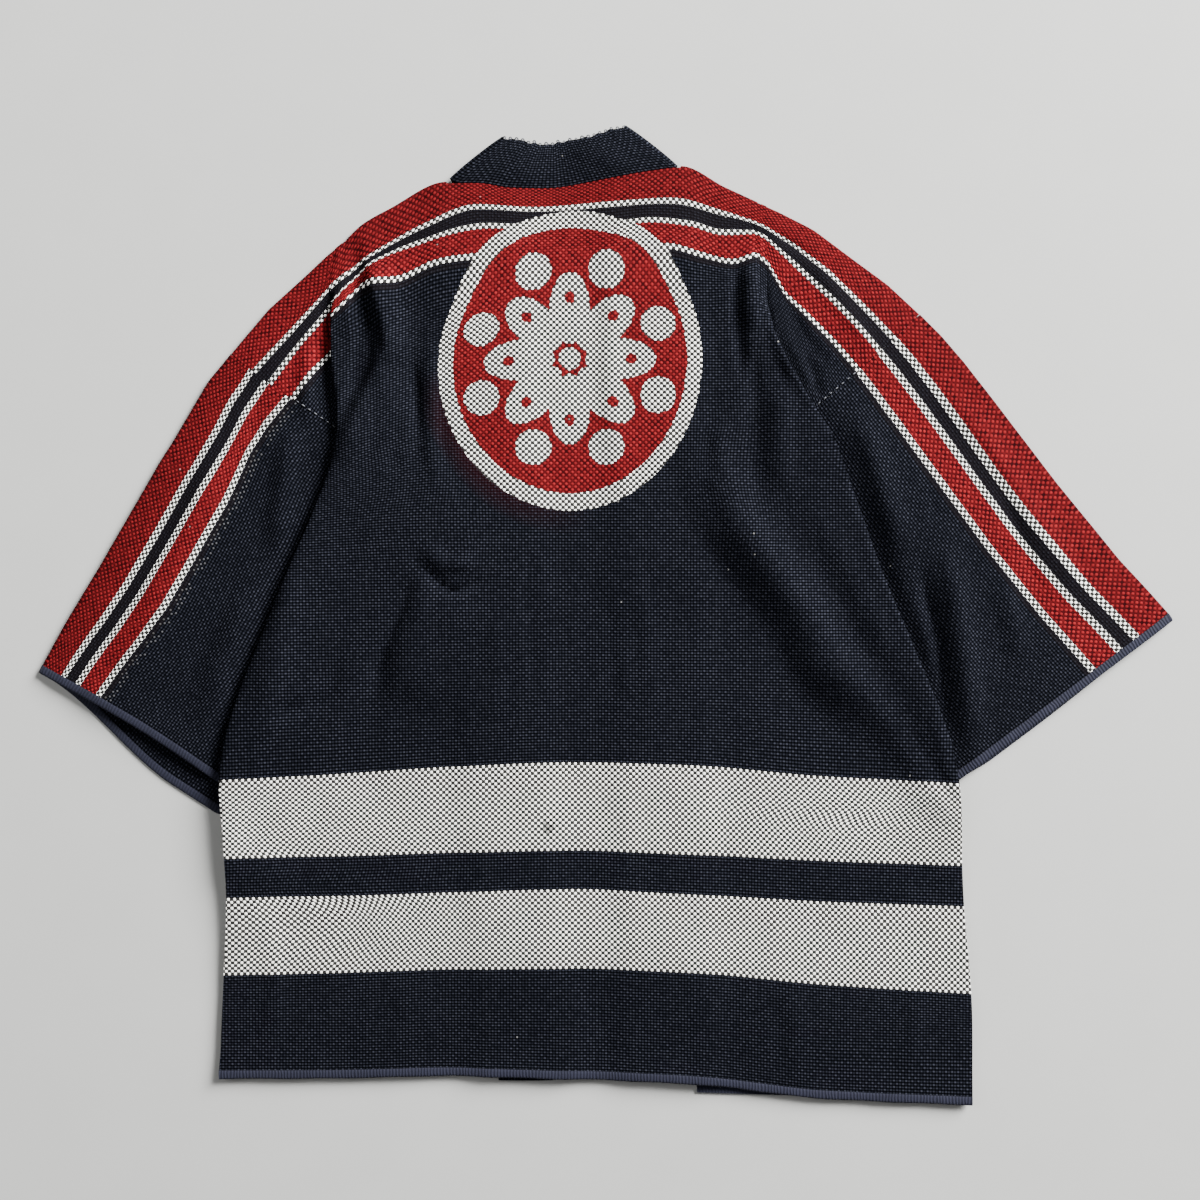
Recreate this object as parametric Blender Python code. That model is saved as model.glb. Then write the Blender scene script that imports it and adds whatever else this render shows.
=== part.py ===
"""Happi coat in heavy sashiko weave, laid flat on its fronts with its back up.

+X runs to the right across the back, +Y towards the collar and +Z up from the surface it lies on.
Tables are in millimetres; the meshes are in metres.
"""
import math

import bmesh
import bpy
import numpy as np
from mathutils import Matrix, Vector
from mathutils.geometry import delaunay_2d_cdt

# ---------------------------------------------------------------- driving dimensions (mm)
CLOTH = 2.0                 # thickness of the sashiko cloth
GAP = 0.3                   # clearance between neighbouring pieces and layers
LEVEL = CLOTH + GAP         # height from one layer to the next
BOTTOM_LAYER = CLOTH / 2    # mid height of a layer that lies on the surface
TOP_LAYER = BOTTOM_LAYER + LEVEL
PLEAT_PITCH = 2.6           # height from one layer of a pleat to the next
TAPE = 2.4                  # thickness of the folded binding tape, pressed shut
TAPE_WIDTH = 7.2            # width of the binding that shows
BAND = 4.0                  # thickness of the doubled collar band
BAND_WIDTH = 46.0           # width of the collar band
LIP = 6.0                   # how far the back's cloth runs on under the shoulder fold
LIFT_RUN = 24.0             # how far outside a pleat its under layers start to rise
HUMP_RUN = 62.0             # how far inside a pleat the back comes down again
BAND_RUN = 30.0             # how far beside the collar band the back comes down again
HEM_RISE, HEM_RUN = 0.6, 26.0   # how much and how far the back rises towards its bound hem
FOLD_STEPS = 4              # facets of one half turn of cloth
REVERSED_STEPS = 3          # cells across the reversed layer of a pleat
WING_STEPS = 6              # cells from a pleat to the armhole
SIDE_STEPS = 5              # cells from a pleat to the neck point
NECK_STEPS = 6              # cells across the back of the neck
LEFT, RIGHT = -1, 1
SIDE_NAMES = {LEFT: "left", RIGHT: "right"}

# The edge of the fronts' opening: x of the seam between front and band, at the neck and at the hem
OPENING_TOP_Y, OPENING_HEM_Y = 370.0, -397.0
OPENING_X = {LEFT: (-135.5, -92.5), RIGHT: (60.5, 76.0)}

# Rows of the back, shoulder first. "main" is the stretch between the two pleats, (x, y) from left to right.
# "left" and "right" are the stretches from each pleat out to the armhole, from the pleat outwards.
UPPER_ROWS = [
    dict(name="shoulder",
         main=[(-221, 318), (-207, 331), (-186, 343), (-137, 366), (-110, 366), (-81, 362), (-55, 362),
               (-1, 370), (36, 376), (62, 378), (99, 360), (126, 348)],
         left=[(-234, 307), (-253, 289), (-286, 257), (-317, 219)],
         right=[(137, 343), (173, 325), (209, 299), (237, 279), (264, 254)]),
    dict(name="first white stripe",
         main=[(-227, 284), (-209, 299), (-184, 315), (-155, 330), (-110, 346), (-69, 344), (-1, 348),
               (53, 351), (98, 341), (119, 335)],
         left=[(-239, 273), (-266, 242), (-300, 206)],
         right=[(130, 331), (157, 315), (188, 290), (223, 255), (243, 234)]),
    dict(name="second white stripe",
         main=[(-231, 267), (-214, 287), (-198, 300), (-164, 315), (-102, 330), (-57, 329), (-6, 330),
               (36, 335), (69, 332), (98, 325), (125, 325)],
         left=[(-238, 256), (-246, 248), (-266, 224), (-287, 196)],
         right=[(134, 321), (157, 300), (190, 269), (219, 238), (231, 224)]),
    dict(name="third white stripe",
         main=[(-233, 254), (-225, 262), (-207, 281), (-180, 285), (-147, 299), (-125, 303), (-74, 307),
               (-6, 310), (50, 313), (79, 306), (106, 300), (126, 306)],
         left=[(-221, 238), (-233, 225), (-250, 207), (-268, 183)],
         right=[(136, 299), (151, 272), (163, 261), (194, 230), (214, 207)]),
]

# Lower rows, from the armholes to the hem: y of each row at the places across the back that ROW_PLACES gives;
# its ends are the folds or side edges of the pleat tables below.
ROW_PLACES = dict(left_side=-232.0, left_neck=-137.0, middle=-35.0, right_neck=62.0, right_side=186.0)
INNER_MARGIN = 10.0         # how far the back lies flat on its pleat inside the pleat's inner fold
OPEN_SHARE = 0.4            # share of a side without a pleat that its first two cells take
NECK_MARGIN = 1.6           # from the collar band's seam to the neck point
NECK_RUN = 24.0             # least run from the flat stretch over a pleat to the neck point's column
LOWER_ROWS = [
    dict(name="below the stripes", y=(None, 262, 276, 274, None)),
    dict(name="blades", y=(None, 232, 242, 241, None)),
    dict(name="upper pleat", y=(None, 205, 212, 212, None)),
    dict(name="armhole", y=(None, 178, 182, 182, None)),
    dict(name="underarm", y=(None, 154, 157, 157, None)),
    dict(name="chest", y=(None, 97, 97, 97, None)),
    dict(name="waist", y=(None, 38, 38, 38, None)),
    dict(name="hip", y=(-23, -22, -21, -22, -22)),
    dict(name="above the band", y=(-76, -74, -72, -73, -76)),
    dict(name="cuff corner", y=(-107, -104, -101, -102, -108)),
    dict(name="first band top", y=(-135, -129, -125, -127, -137)),
    dict(name="first band", y=(-170, -166, -162, -164, -172)),
    dict(name="first band foot", y=(-205, -202, -200, -203, -209)),
    dict(name="second band top", y=(-240, -237, -234, -238, -245)),
    dict(name="second band foot", y=(-305, -302, -301, -304, -315)),
    dict(name="above the hem", y=(-352, -350, -351, -355, -365)),
    dict(name="hem rise", y=(-376, -374, -376, -380, -393)),
    dict(name="hem", y=(-386.5, -384.5, -387, -390.5, -404)),
]

# The pleats. For each row: the visible fold (or, below the pleat, the side edge), the hidden inner fold or
# side seam, whether the cloth is open, stands up as a step or is closed flat into a pleat, and how high the
# fold stands over the lower layer.
PLEAT = {
    LEFT: [
        dict(fold=None, inner=None, state="open", rise=0.0),
        dict(fold=None, inner=None, state="open", rise=1.0),
        dict(fold=None, inner=None, state="standing", rise=3.6),
        dict(fold=None, inner=None, state="closed", rise=5.2),
        dict(fold=(-233, 227), inner=(-213, 223), state="closed", rise=5.8),
        dict(fold=(-231, 199), inner=(-199, 201), state="closed", rise=6.5),
        dict(fold=(-228, 176), inner=(-182, 173), state="closed", rise=7.0),
        dict(fold=(-228, 153), inner=(-159, 134), state="closed", rise=7.4),
        dict(fold=(-232, 131), inner=(-134, 93), state="closed", rise=7.5),
        dict(fold=(-248, 87), inner=(-164, 40), state="closed", rise=7.9),
        dict(fold=(-270, 35), inner=(-194, -17), state="closed", rise=8.2),
        dict(fold=(-294, -24), inner=(-222, -68), state="closed", rise=8.3),
        dict(fold=(-314, -77), inner=(-247, -114), state="closed", rise=8.5),
        dict(fold=(-323, -111), inner=(-262, -142), state="closed", rise=8.7),
        dict(fold=(-327, -139), inner=(-274, -162), state="closed", rise=8.9),
        dict(fold=(-326, -172), inner=(-289, -190), state="closed", rise=8.8),
        dict(fold=(-324, -206), inner=None, state="open", rise=8.0),
        dict(fold=(-323, -241), inner=None, state="open", rise=4.4),
        dict(fold=(-326, -307), inner=None, state="open", rise=0.5),
        dict(fold=(-328, -352), inner=None, state="open", rise=0.0),
        dict(fold=(-329, -376), inner=None, state="open", rise=0.0),
        dict(fold=(-330, -387), inner=None, state="open", rise=0.0),
    ],
    RIGHT: [
        dict(fold=None, inner=None, state="open", rise=0.0),
        dict(fold=None, inner=None, state="open", rise=0.2),
        dict(fold=None, inner=None, state="open", rise=0.6),
        dict(fold=None, inner=None, state="open", rise=1.2),
        dict(fold=(127, 276), inner=(137, 270), state="open", rise=3.0),
        dict(fold=(139, 242), inner=(143, 242), state="standing", rise=4.8),
        dict(fold=(153, 212), inner=(124, 202), state="closed", rise=6.5),
        dict(fold=(170, 182), inner=(107, 152), state="closed", rise=7.2),
        dict(fold=(186, 157), inner=(99, 114), state="closed", rise=7.5),
        dict(fold=(209, 97), inner=(137, 61), state="closed", rise=7.8),
        dict(fold=(230, 38), inner=(170, 13), state="closed", rise=8.2),
        dict(fold=(255, -22), inner=(204, -36), state="closed", rise=8.3),
        dict(fold=(278, -77), inner=(236, -81), state="closed", rise=8.3),
        dict(fold=(291, -111), inner=(255, -109), state="closed", rise=8.4),
        dict(fold=(297, -142), inner=None, state="open", rise=8.4),
        dict(fold=(300, -177), inner=None, state="open", rise=4.4),
        dict(fold=(301, -213), inner=None, state="open", rise=1.2),
        dict(fold=(303, -249), inner=None, state="open", rise=0.0),
        dict(fold=(309, -323), inner=None, state="open", rise=0.0),
        dict(fold=(310, -368), inner=None, state="open", rise=0.0),
        dict(fold=(310, -397), inner=None, state="open", rise=0.0),
        dict(fold=(310, -409.5), inner=None, state="open", rise=0.0),
    ],
}
UNDERARM_ROW = 8            # the last row that reaches the armhole seam
UNDERARM_REACH = (13.0, 8.0)    # from the inner fold at the underarm out and up to the end of that seam
SEAM_RUN = 8.0              # how far outside the side seam the reversed layer starts to come down to it

# Sleeves: the shoulder fold from armhole to cuff, and the ends of the lower fold
SLEEVE_FOLD = {
    LEFT: [(-317, 219), (-336, 196), (-369, 143), (-378, 130), (-478, -44)],
    RIGHT: [(264, 254), (282, 236), (301, 214), (331, 177), (434, 46), (457, 20), (475, 0)],
}
SLEEVE_CORNER = {LEFT: (-291, -164), RIGHT: (293, -136)}
SEAM_ALLOWANCE = 2.0        # how far a front runs on under the back's side seam
SLEEVE_GAP = 0.45           # from the armhole edge of the body to the sleeve
CUFF_SHIFT = {LEFT: 20.0, RIGHT: 3.0}   # how far the under side of the cuff shows past the upper side
CUFF_OPEN = {LEFT: 1.6, RIGHT: 0.3}     # how far the upper side of the cuff stands off the under side
CUFF_BOW = {LEFT: 6.0, RIGHT: 0.0}      # how far the upper side's edge bows inwards
SLEEVE_EASE = 0.6           # how much more the sleeve's two layers stand apart from halfway down
SLEEVE_STATIONS = 9

# Collar band: ends of each line across it, at the seam side and at the free side, with the height of its
# middle. It runs up one front, folds over beside the neck, runs along the back of the neck and down again.
BAND_FRONT = {
    LEFT: [
        dict(seam=(-92.7, -396.5), free=(-46.7, -396.5)),
        dict(seam=(-100, -270), free=(-54, -270)),
        dict(seam=(-107.5, -141), free=(-61.5, -141)),
        dict(seam=(-116, 10), free=(-70, 10)),
        dict(seam=(-125, 165), free=(-79, 165)),
        dict(seam=(-131, 275), free=(-85, 277)),
        dict(seam=(-133.5, 325), free=(-88, 338)),
        dict(seam=(-134.5, 351), free=(-89.5, 380)),
    ],
    RIGHT: [
        dict(seam=(76, -394), free=(30, -394)),
        dict(seam=(73.5, -270), free=(27.5, -270)),
        dict(seam=(71.5, -141), free=(25.5, -141)),
        dict(seam=(69, 10), free=(23, 10)),
        dict(seam=(66, 165), free=(20, 165)),
        dict(seam=(63, 275), free=(17, 279)),
        dict(seam=(61, 330), free=(14.5, 348)),
        dict(seam=(60, 359), free=(14, 389)),
    ],
}
BAND_FOLD = {
    LEFT: dict(seam=(-132.5, 368.6), free=(-88, 404)),
    RIGHT: dict(seam=(58, 379.2), free=(14, 413.5)),
}
BAND_NECK = [
    dict(free=(-78, 403.5), height=6.3),
    dict(free=(-66, 400), height=6.3),
    dict(free=(-54, 399.5), height=4.5),
    dict(free=(-42, 402), height=2.8),
    dict(free=(-29, 404), height=4.3),
    dict(free=(-14, 406.5), height=6.3),
    dict(free=(2, 412), height=6.3),
]
BAND_ACROSS = 4
NECK_GAP = 0.45             # from the back's neck edge to the band

# Hems of the fronts: y at the opening and at the side seam
FRONT_HEM_Y = {LEFT: (-384.5, -385.5), RIGHT: (-399.5, -407.0)}

COLOURS = {
    "sashiko_navy": ((0.012, 0.016, 0.028), 0.9),
    "binding_slate": ((0.062, 0.066, 0.125), 0.75),
}


# ---------------------------------------------------------------- curves and heights
def smooth(value):
    """Ease from 0 to 1."""
    value = min(max(value, 0.0), 1.0)
    return value * value * (3 - 2 * value)


def along(points, fraction):
    """The place at a fraction of a polyline's length."""
    points = np.asarray(points, dtype=float)
    lengths = np.concatenate([[0.0], np.cumsum(np.linalg.norm(np.diff(points, axis=0), axis=1))])
    target = fraction * lengths[-1]
    return np.array([np.interp(target, lengths, points[:, axis]) for axis in range(points.shape[1])])


def pleat_rows(side):
    """The side's pleat table with the folds of the upper rows filled in from the stripe rows."""
    rows = []
    for number, entry in enumerate(PLEAT[side]):
        row = dict(entry)
        if row["fold"] is None:
            upper = UPPER_ROWS[number]
            row["fold"] = upper["main"][0 if side == LEFT else -1]
            row["inner"] = upper["left" if side == LEFT else "right"][0]
        rows.append(row)
    return rows


def down_the_side(side, y, values, key="fold"):
    """A value of the pleat table at a height y, read between its rows."""
    rows = [row for row in pleat_rows(side) if row[key] is not None]
    heights = [-row[key][1] for row in rows]
    return float(np.interp(-y, heights, [values(row) for row in rows]))


def fold_line(side, y):
    """x of the pleat's visible fold, or of the side edge, at a height y."""
    return down_the_side(side, y, lambda row: row["fold"][0])


def inner_line(side, y):
    """x of the pleat's hidden inner fold or side seam at a height y; it runs out to the side edge below."""
    rows = pleat_rows(side)
    pleated = [row for row in rows if row["inner"] is not None]
    if y > pleated[len(UPPER_ROWS) - 1]["inner"][1]:
        return fold_line(side, y)
    places = [row["inner"] for row in pleated] + [rows[len(pleated) + 1]["fold"]]
    if y < places[-1][1]:
        return fold_line(side, y)
    return float(np.interp(-y, [-place[1] for place in places], [place[0] for place in places]))


def fold_rise(side, y):
    """How high the back stands over the lower layer along a pleat's fold, at a height y."""
    return down_the_side(side, y, lambda row: row["rise"])


def layers_under(side, y):
    """How high the layers under a pleat are lifted at a height y."""
    return down_the_side(side, y, lambda row: min(max(row["rise"] - 2 * PLEAT_PITCH, 0.0), LEVEL))


def lift(side, x, y):
    """Rise of the sleeve and yoke layers where they run under the pleat's fold."""
    outside = (x - fold_line(side, y)) * side
    return layers_under(side, y) * smooth((LIFT_RUN - outside) / (LIFT_RUN - 2.0))


def opening_line(side, y):
    """x of the seam between front and collar band at a height y."""
    top_x, hem_x = OPENING_X[side]
    return top_x + (hem_x - top_x) * (OPENING_TOP_Y - y) / (OPENING_TOP_Y - OPENING_HEM_Y)


def band_rise(x, y):
    """Rise of the back where it lies over the two runs of the collar band."""
    rise = 0.0
    for side in (LEFT, RIGHT):
        middle = opening_line(side, y) - side * BAND_WIDTH / 2
        off = abs(x - middle) - BAND_WIDTH / 2
        rise = max(rise, smooth(1.0 - (off - 2 * NECK_MARGIN) / BAND_RUN))
    return (BAND - CLOTH + 0.1) * rise


# ---------------------------------------------------------------- turning sheets into solids
def material(name):
    """A plain finish in the piece's main colour."""
    found = bpy.data.materials.get(name)
    if found:
        return found
    colour, roughness = COLOURS[name]
    made = bpy.data.materials.new(name)
    made.use_nodes = True
    shader = made.node_tree.nodes["Principled BSDF"]
    shader.inputs["Base Color"].default_value = (*colour, 1.0)
    shader.inputs["Roughness"].default_value = roughness
    shader.inputs["Metallic"].default_value = 0.0
    made.diffuse_color = (*colour, 1.0)
    return made


def sheet_normals(grid, cells, rows, columns):
    """Unit normals at the points of a sheet, averaged from the cells around them."""
    normals = np.zeros_like(grid)
    for row, column in cells:
        below, beside = (row + 1) % rows, (column + 1) % columns
        first = grid[below, beside] - grid[row, column]
        second = grid[row, beside] - grid[below, column]
        normal = np.cross(first, second)
        length = np.linalg.norm(normal)
        if length > 0:
            normal = normal / length
        for place in ((row, column), (row, beside), (below, beside), (below, column)):
            normals[place] += normal
    lengths = np.linalg.norm(normals, axis=2, keepdims=True)
    return normals / np.maximum(lengths, 1e-9)


def cloth_wall(name, finish, grid, present, thickness, closed_round=False):
    """A closed wall of cloth whose middle is the sheet of points grid[row][column]."""
    rows, columns = present.shape
    last_column = columns if closed_round else columns - 1
    cells = []
    for row in range(rows - 1):
        for column in range(last_column):
            beside = (column + 1) % columns
            corners = (present[row, column], present[row, beside],
                       present[row + 1, beside], present[row + 1, column])
            if all(corners):
                cells.append((row, column))
    normals = sheet_normals(grid, cells, rows, columns)
    mesh = bmesh.new()
    layers = []
    used = {place for row, column in cells
            for place in ((row, column), (row, (column + 1) % columns),
                          (row + 1, (column + 1) % columns), (row + 1, column))}
    for side in (0.5, -0.5):
        layer = {}
        for place in sorted(used):
            point = grid[place] + normals[place] * thickness * side
            point[2] = max(point[2], 0.0)
            layer[place] = mesh.verts.new(point / 1000.0)
        layers.append(layer)
    top, bottom = layers
    edges = {}
    for row, column in cells:
        beside = (column + 1) % columns
        ring = [(row, column), (row, beside), (row + 1, beside), (row + 1, column)]
        mesh.faces.new([top[place] for place in ring])
        mesh.faces.new([bottom[place] for place in reversed(ring)])
        for start, end in zip(ring, ring[1:] + ring[:1]):
            edges[(start, end)] = True
    for start, end in edges:
        if (end, start) not in edges:
            mesh.faces.new([top[end], top[start], bottom[start], bottom[end]])
    return finish_solid(name, finish, mesh)


def finish_solid(name, finish, mesh):
    """Close, orient and place one solid in the scene."""
    bmesh.ops.recalc_face_normals(mesh, faces=mesh.faces)
    bmesh.ops.triangulate(mesh, faces=mesh.faces)
    data = bpy.data.meshes.new(name)
    mesh.to_mesh(data)
    mesh.free()
    data.materials.append(material(finish))
    data.shade_smooth()
    data.set_sharp_from_angle(angle=math.radians(50))
    made = bpy.data.objects.new(name, data)
    bpy.context.scene.collection.objects.link(made)
    return made


# ---------------------------------------------------------------- back
def pleat_strip(side, row):
    """Points of one row through the pleat, from the visible fold to the inner fold or the side seam."""
    strips = dict(open=open_strip, standing=standing_strip, closed=closed_strip)
    return strips[row["state"]](side, row)


def open_strip(side, row):
    """The pleat where it has opened out: an even slope between the two folds."""
    fold = np.array(row["fold"], dtype=float)
    run = np.array(row["inner"], dtype=float) - fold
    count = 2 * FOLD_STEPS + REVERSED_STEPS
    points = []
    for step in range(count + 1):
        place = fold + run * step / count
        points.append(np.array([*place, TOP_LAYER + row["rise"] * (1 - smooth(step / count))]))
    return points


def standing_strip(side, row):
    """The pleat where it is just closing: a rounded step down from the back to the yoke."""
    fold = np.array(row["fold"], dtype=float)
    outward = np.array([float(side), 0.0])
    radius = PLEAT_PITCH / 2
    points = []
    for step in range(FOLD_STEPS):
        angle = math.pi / 2 * step / FOLD_STEPS
        place = fold + outward * radius * math.sin(angle)
        points.append(np.array([*place, TOP_LAYER + row["rise"] - radius * (1 - math.cos(angle))]))
    for step in range(REVERSED_STEPS):
        place = fold + outward * radius
        height = row["rise"] - radius - (row["rise"] - 2 * radius) * step / REVERSED_STEPS
        points.append(np.array([*place, TOP_LAYER + height]))
    for step in range(FOLD_STEPS + 1):
        angle = math.pi / 2 * step / FOLD_STEPS
        place = fold + outward * radius * (2 - math.cos(angle))
        points.append(np.array([*place, TOP_LAYER + radius * (1 - math.sin(angle))]))
    return points


def closed_strip(side, row):
    """The pleat pressed flat: the visible fold, the hidden reversed layer and the inner fold."""
    fold = np.array(row["fold"], dtype=float)
    inner = np.array(row["inner"], dtype=float)
    radius = PLEAT_PITCH / 2
    outward = np.array([float(side), 0.0])
    points = []

    def put(place, drop):
        points.append(np.array([*place, TOP_LAYER + fold_rise(side, place[1]) - drop]))

    for step in range(FOLD_STEPS):
        angle = math.pi * step / FOLD_STEPS
        put(fold + outward * radius * math.sin(angle), radius * (1 - math.cos(angle)))
    for step in range(REVERSED_STEPS):
        put(fold + (inner - fold) * step / REVERSED_STEPS, PLEAT_PITCH)
    for step in range(FOLD_STEPS + 1):
        angle = math.pi * step / FOLD_STEPS
        put(inner - outward * radius * math.sin(angle), PLEAT_PITCH + radius * (1 - math.cos(angle)))
    return points


def wing_strip(side, number, row):
    """Points of one row from the pleat's inner fold out to the armhole seam."""
    start = tuple(pleat_strip(side, row)[-1][:2])
    if number < len(UPPER_ROWS):
        route = [start] + UPPER_ROWS[number]["left" if side == LEFT else "right"][1:]
    else:
        route = [start, armhole_points(side)[number]]
    points = []
    for step in range(1, WING_STEPS + 1):
        x, y = along(route, step / WING_STEPS)
        points.append(np.array([x, y, TOP_LAYER + lift(side, x, y)]))
    return points


def main_height(x, y):
    """Mid height of the back between the pleats."""
    height = band_rise(x, y)
    for side in (LEFT, RIGHT):
        inward = (inner_line(side, y) - x) * side
        height = max(height, fold_rise(side, y) * (1 - smooth((inward - INNER_MARGIN) / HUMP_RUN)))
    left_hem, right_hem = PLEAT[LEFT][-1]["fold"], PLEAT[RIGHT][-1]["fold"]
    hem_y = np.interp(x, [left_hem[0], right_hem[0]], [left_hem[1], right_hem[1]])
    height += HEM_RISE * smooth(1 - (y - hem_y) / HEM_RUN)
    return TOP_LAYER + height


def side_places(side, row, neck_y):
    """x of the back's columns on one side, from the fold to the neck point."""
    fold_x, fold_y = row["fold"]
    neck = opening_line(side, neck_y) + side * NECK_MARGIN
    inner_x = inner_line(side, fold_y)
    if inner_x == fold_line(side, fold_y):
        flat_end = fold_x + (neck - fold_x) * OPEN_SHARE
    else:
        flat_end = inner_x - side * INNER_MARGIN
        if (flat_end - neck) * side < NECK_RUN / 2:
            neck = flat_end - side * NECK_RUN
    return list(np.linspace(fold_x, flat_end, 3)) + list(np.linspace(flat_end, neck, SIDE_STEPS - 1))[1:]


def main_strip(number, left_row, right_row):
    """Points of one row between the two pleats."""
    if number < len(UPPER_ROWS):
        route = np.array(UPPER_ROWS[number]["main"], dtype=float)
    else:
        lower = LOWER_ROWS[number - len(UPPER_ROWS)]
        route = [(x, y) for x, y in zip(ROW_PLACES.values(), lower["y"]) if y is not None]
        route = np.array([left_row["fold"]] + route + [right_row["fold"]], dtype=float)
    middle_y = np.interp(ROW_PLACES["middle"], route[:, 0], route[:, 1])
    left = side_places(LEFT, left_row, middle_y)
    right = side_places(RIGHT, right_row, middle_y)
    inside = [opening_line(side, middle_y) - side * (BAND_WIDTH + NECK_MARGIN) for side in (LEFT, RIGHT)]
    across = []
    for start, end in ((left[-1], inside[0]), inside, (inside[1], right[-1])):
        across += list(np.linspace(start, end, NECK_STEPS // 3 + 1))[1:]
    points = []
    for x in left + across[:-1] + right[::-1]:
        y = float(np.interp(x, route[:, 0], route[:, 1]))
        points.append(np.array([x, y, main_height(x, y)]))
    return points


def shoulder_roll(strip):
    """Rows that turn the back's cloth down and under along the shoulder folds, outermost last."""
    rows = []
    radius = LEVEL / 2
    for step in range(1, FOLD_STEPS + 2):
        angle = math.pi * min(step, FOLD_STEPS) / FOLD_STEPS
        row = []
        for column, point in enumerate(strip):
            before = strip[max(column - 1, 0)]
            after = strip[min(column + 1, len(strip) - 1)]
            run = (after - before)[:2]
            outward = np.array([-run[1], run[0]]) / max(np.linalg.norm(run), 1e-9)
            reach = radius * math.sin(angle) - (LIP if step > FOLD_STEPS else 0.0)
            drop = (point[2] - BOTTOM_LAYER) / 2
            height = BOTTOM_LAYER + drop * (1 + math.cos(angle))
            row.append(np.array([point[0] + outward[0] * reach, point[1] + outward[1] * reach, height]))
        rows.append(row)
    return rows[::-1]


def shoulder_line(side):
    """Plan points of the shoulder fold from the neck point out to the armhole."""
    rows = {LEFT: pleat_rows(LEFT)[0], RIGHT: pleat_rows(RIGHT)[0]}
    main = main_strip(0, rows[LEFT], rows[RIGHT])
    inner = main[:SIDE_STEPS + 1][::-1] if side == LEFT else main[-SIDE_STEPS - 1:]
    outer = pleat_strip(side, rows[side])[1:] + wing_strip(side, 0, rows[side])
    return [point[:2] for point in inner + outer]


def build_back():
    """The back: yoke, pleats and main panel in one cloth, rolled over the shoulder folds."""
    left_rows, right_rows = pleat_rows(LEFT), pleat_rows(RIGHT)
    strip_length = 2 * FOLD_STEPS + REVERSED_STEPS
    grid, present = [], []
    for number, (left_row, right_row) in enumerate(zip(left_rows, right_rows)):
        main = main_strip(number, left_row, right_row)
        row, here = [], []
        for side, entry in ((LEFT, left_row), (RIGHT, right_row)):
            if entry["inner"] is None:
                pleat = [np.array([*entry["fold"], TOP_LAYER])] * (strip_length + 1)
                kept = 1
            else:
                pleat = pleat_strip(side, entry)
                kept = strip_length + 1
            wing = wing_strip(side, number, entry) if number <= UNDERARM_ROW else [pleat[-1]] * WING_STEPS
            if UNDERARM_ROW < number and entry["inner"] is not None:
                kept = FOLD_STEPS + REVERSED_STEPS + 1
                pleat = lower_seam(side, entry, pleat)
            shown = [index < kept for index in range(strip_length + 1)]
            shown += [number <= UNDERARM_ROW] * WING_STEPS
            points = pleat[1:] + wing
            flags = shown[1:]
            if side == LEFT:
                row += points[::-1] + main
                here += flags[::-1] + [True] * len(main)
            else:
                row += points
                here += flags
        grid.append(row)
        present.append(here)
    outer = WING_STEPS + strip_length
    roll_columns = [column <= outer + SIDE_STEPS or column >= outer + SIDE_STEPS + NECK_STEPS
                    for column in range(len(grid[0]))]
    roll = shoulder_roll(grid[0])
    grid = roll + grid
    present = [roll_columns] * len(roll) + present
    return cloth_wall("back_panel", "sashiko_navy", np.array(grid), np.array(present), CLOTH)


def lower_seam(side, entry, pleat):
    """Bring the end of the reversed layer down to the front along the hidden side seam."""
    pleat = [point.copy() for point in pleat]
    seam = FOLD_STEPS + REVERSED_STEPS
    inner = np.array(entry["inner"], dtype=float)
    before = pleat[seam - 1]
    pleat[seam] = np.array([inner[0], inner[1], TOP_LAYER + 0.05])
    shoulder = inner + (before[:2] - inner) / np.linalg.norm(before[:2] - inner) * SEAM_RUN
    pleat[seam - 1] = np.array([shoulder[0], shoulder[1], before[2]])
    return pleat


# ---------------------------------------------------------------- sleeves
def armhole_points(side):
    """Plan points of the armhole seam, one for each row of the back that reaches it."""
    key = "left" if side == LEFT else "right"
    points = [np.array(row[key][-1], dtype=float) for row in UPPER_ROWS]
    inner = np.array(PLEAT[side][UNDERARM_ROW]["inner"], dtype=float)
    under = inner + np.array([side * UNDERARM_REACH[0], UNDERARM_REACH[1]])
    corner = points[-1]
    count = UNDERARM_ROW - len(UPPER_ROWS) + 1
    return points + [corner + (under - corner) * (step + 1) / count for step in range(count)]


def sleeve_run(side):
    """Unit direction of the sleeve in plan, from the armhole to the cuff."""
    run = np.array(SLEEVE_CORNER[side], dtype=float) - armhole_points(side)[-1]
    return run / np.linalg.norm(run)


def sleeve_place(side, share, across):
    """Plan place on a sleeve: share of its length, and share of its depth from the shoulder fold down."""
    fold = SLEEVE_FOLD[side]
    hole = along(armhole_points(side), across)
    tip = np.array(fold[-1], dtype=float)
    cuff = tip + (np.array(SLEEVE_CORNER[side], dtype=float) - tip) * across
    bow = along(fold, share) - (np.array(fold[0]) + (tip - np.array(fold[0])) * share)
    gap = SLEEVE_GAP * (1 - share)
    return hole + (cuff - hole) * share + bow * (1 - across) + sleeve_run(side) * gap


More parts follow.
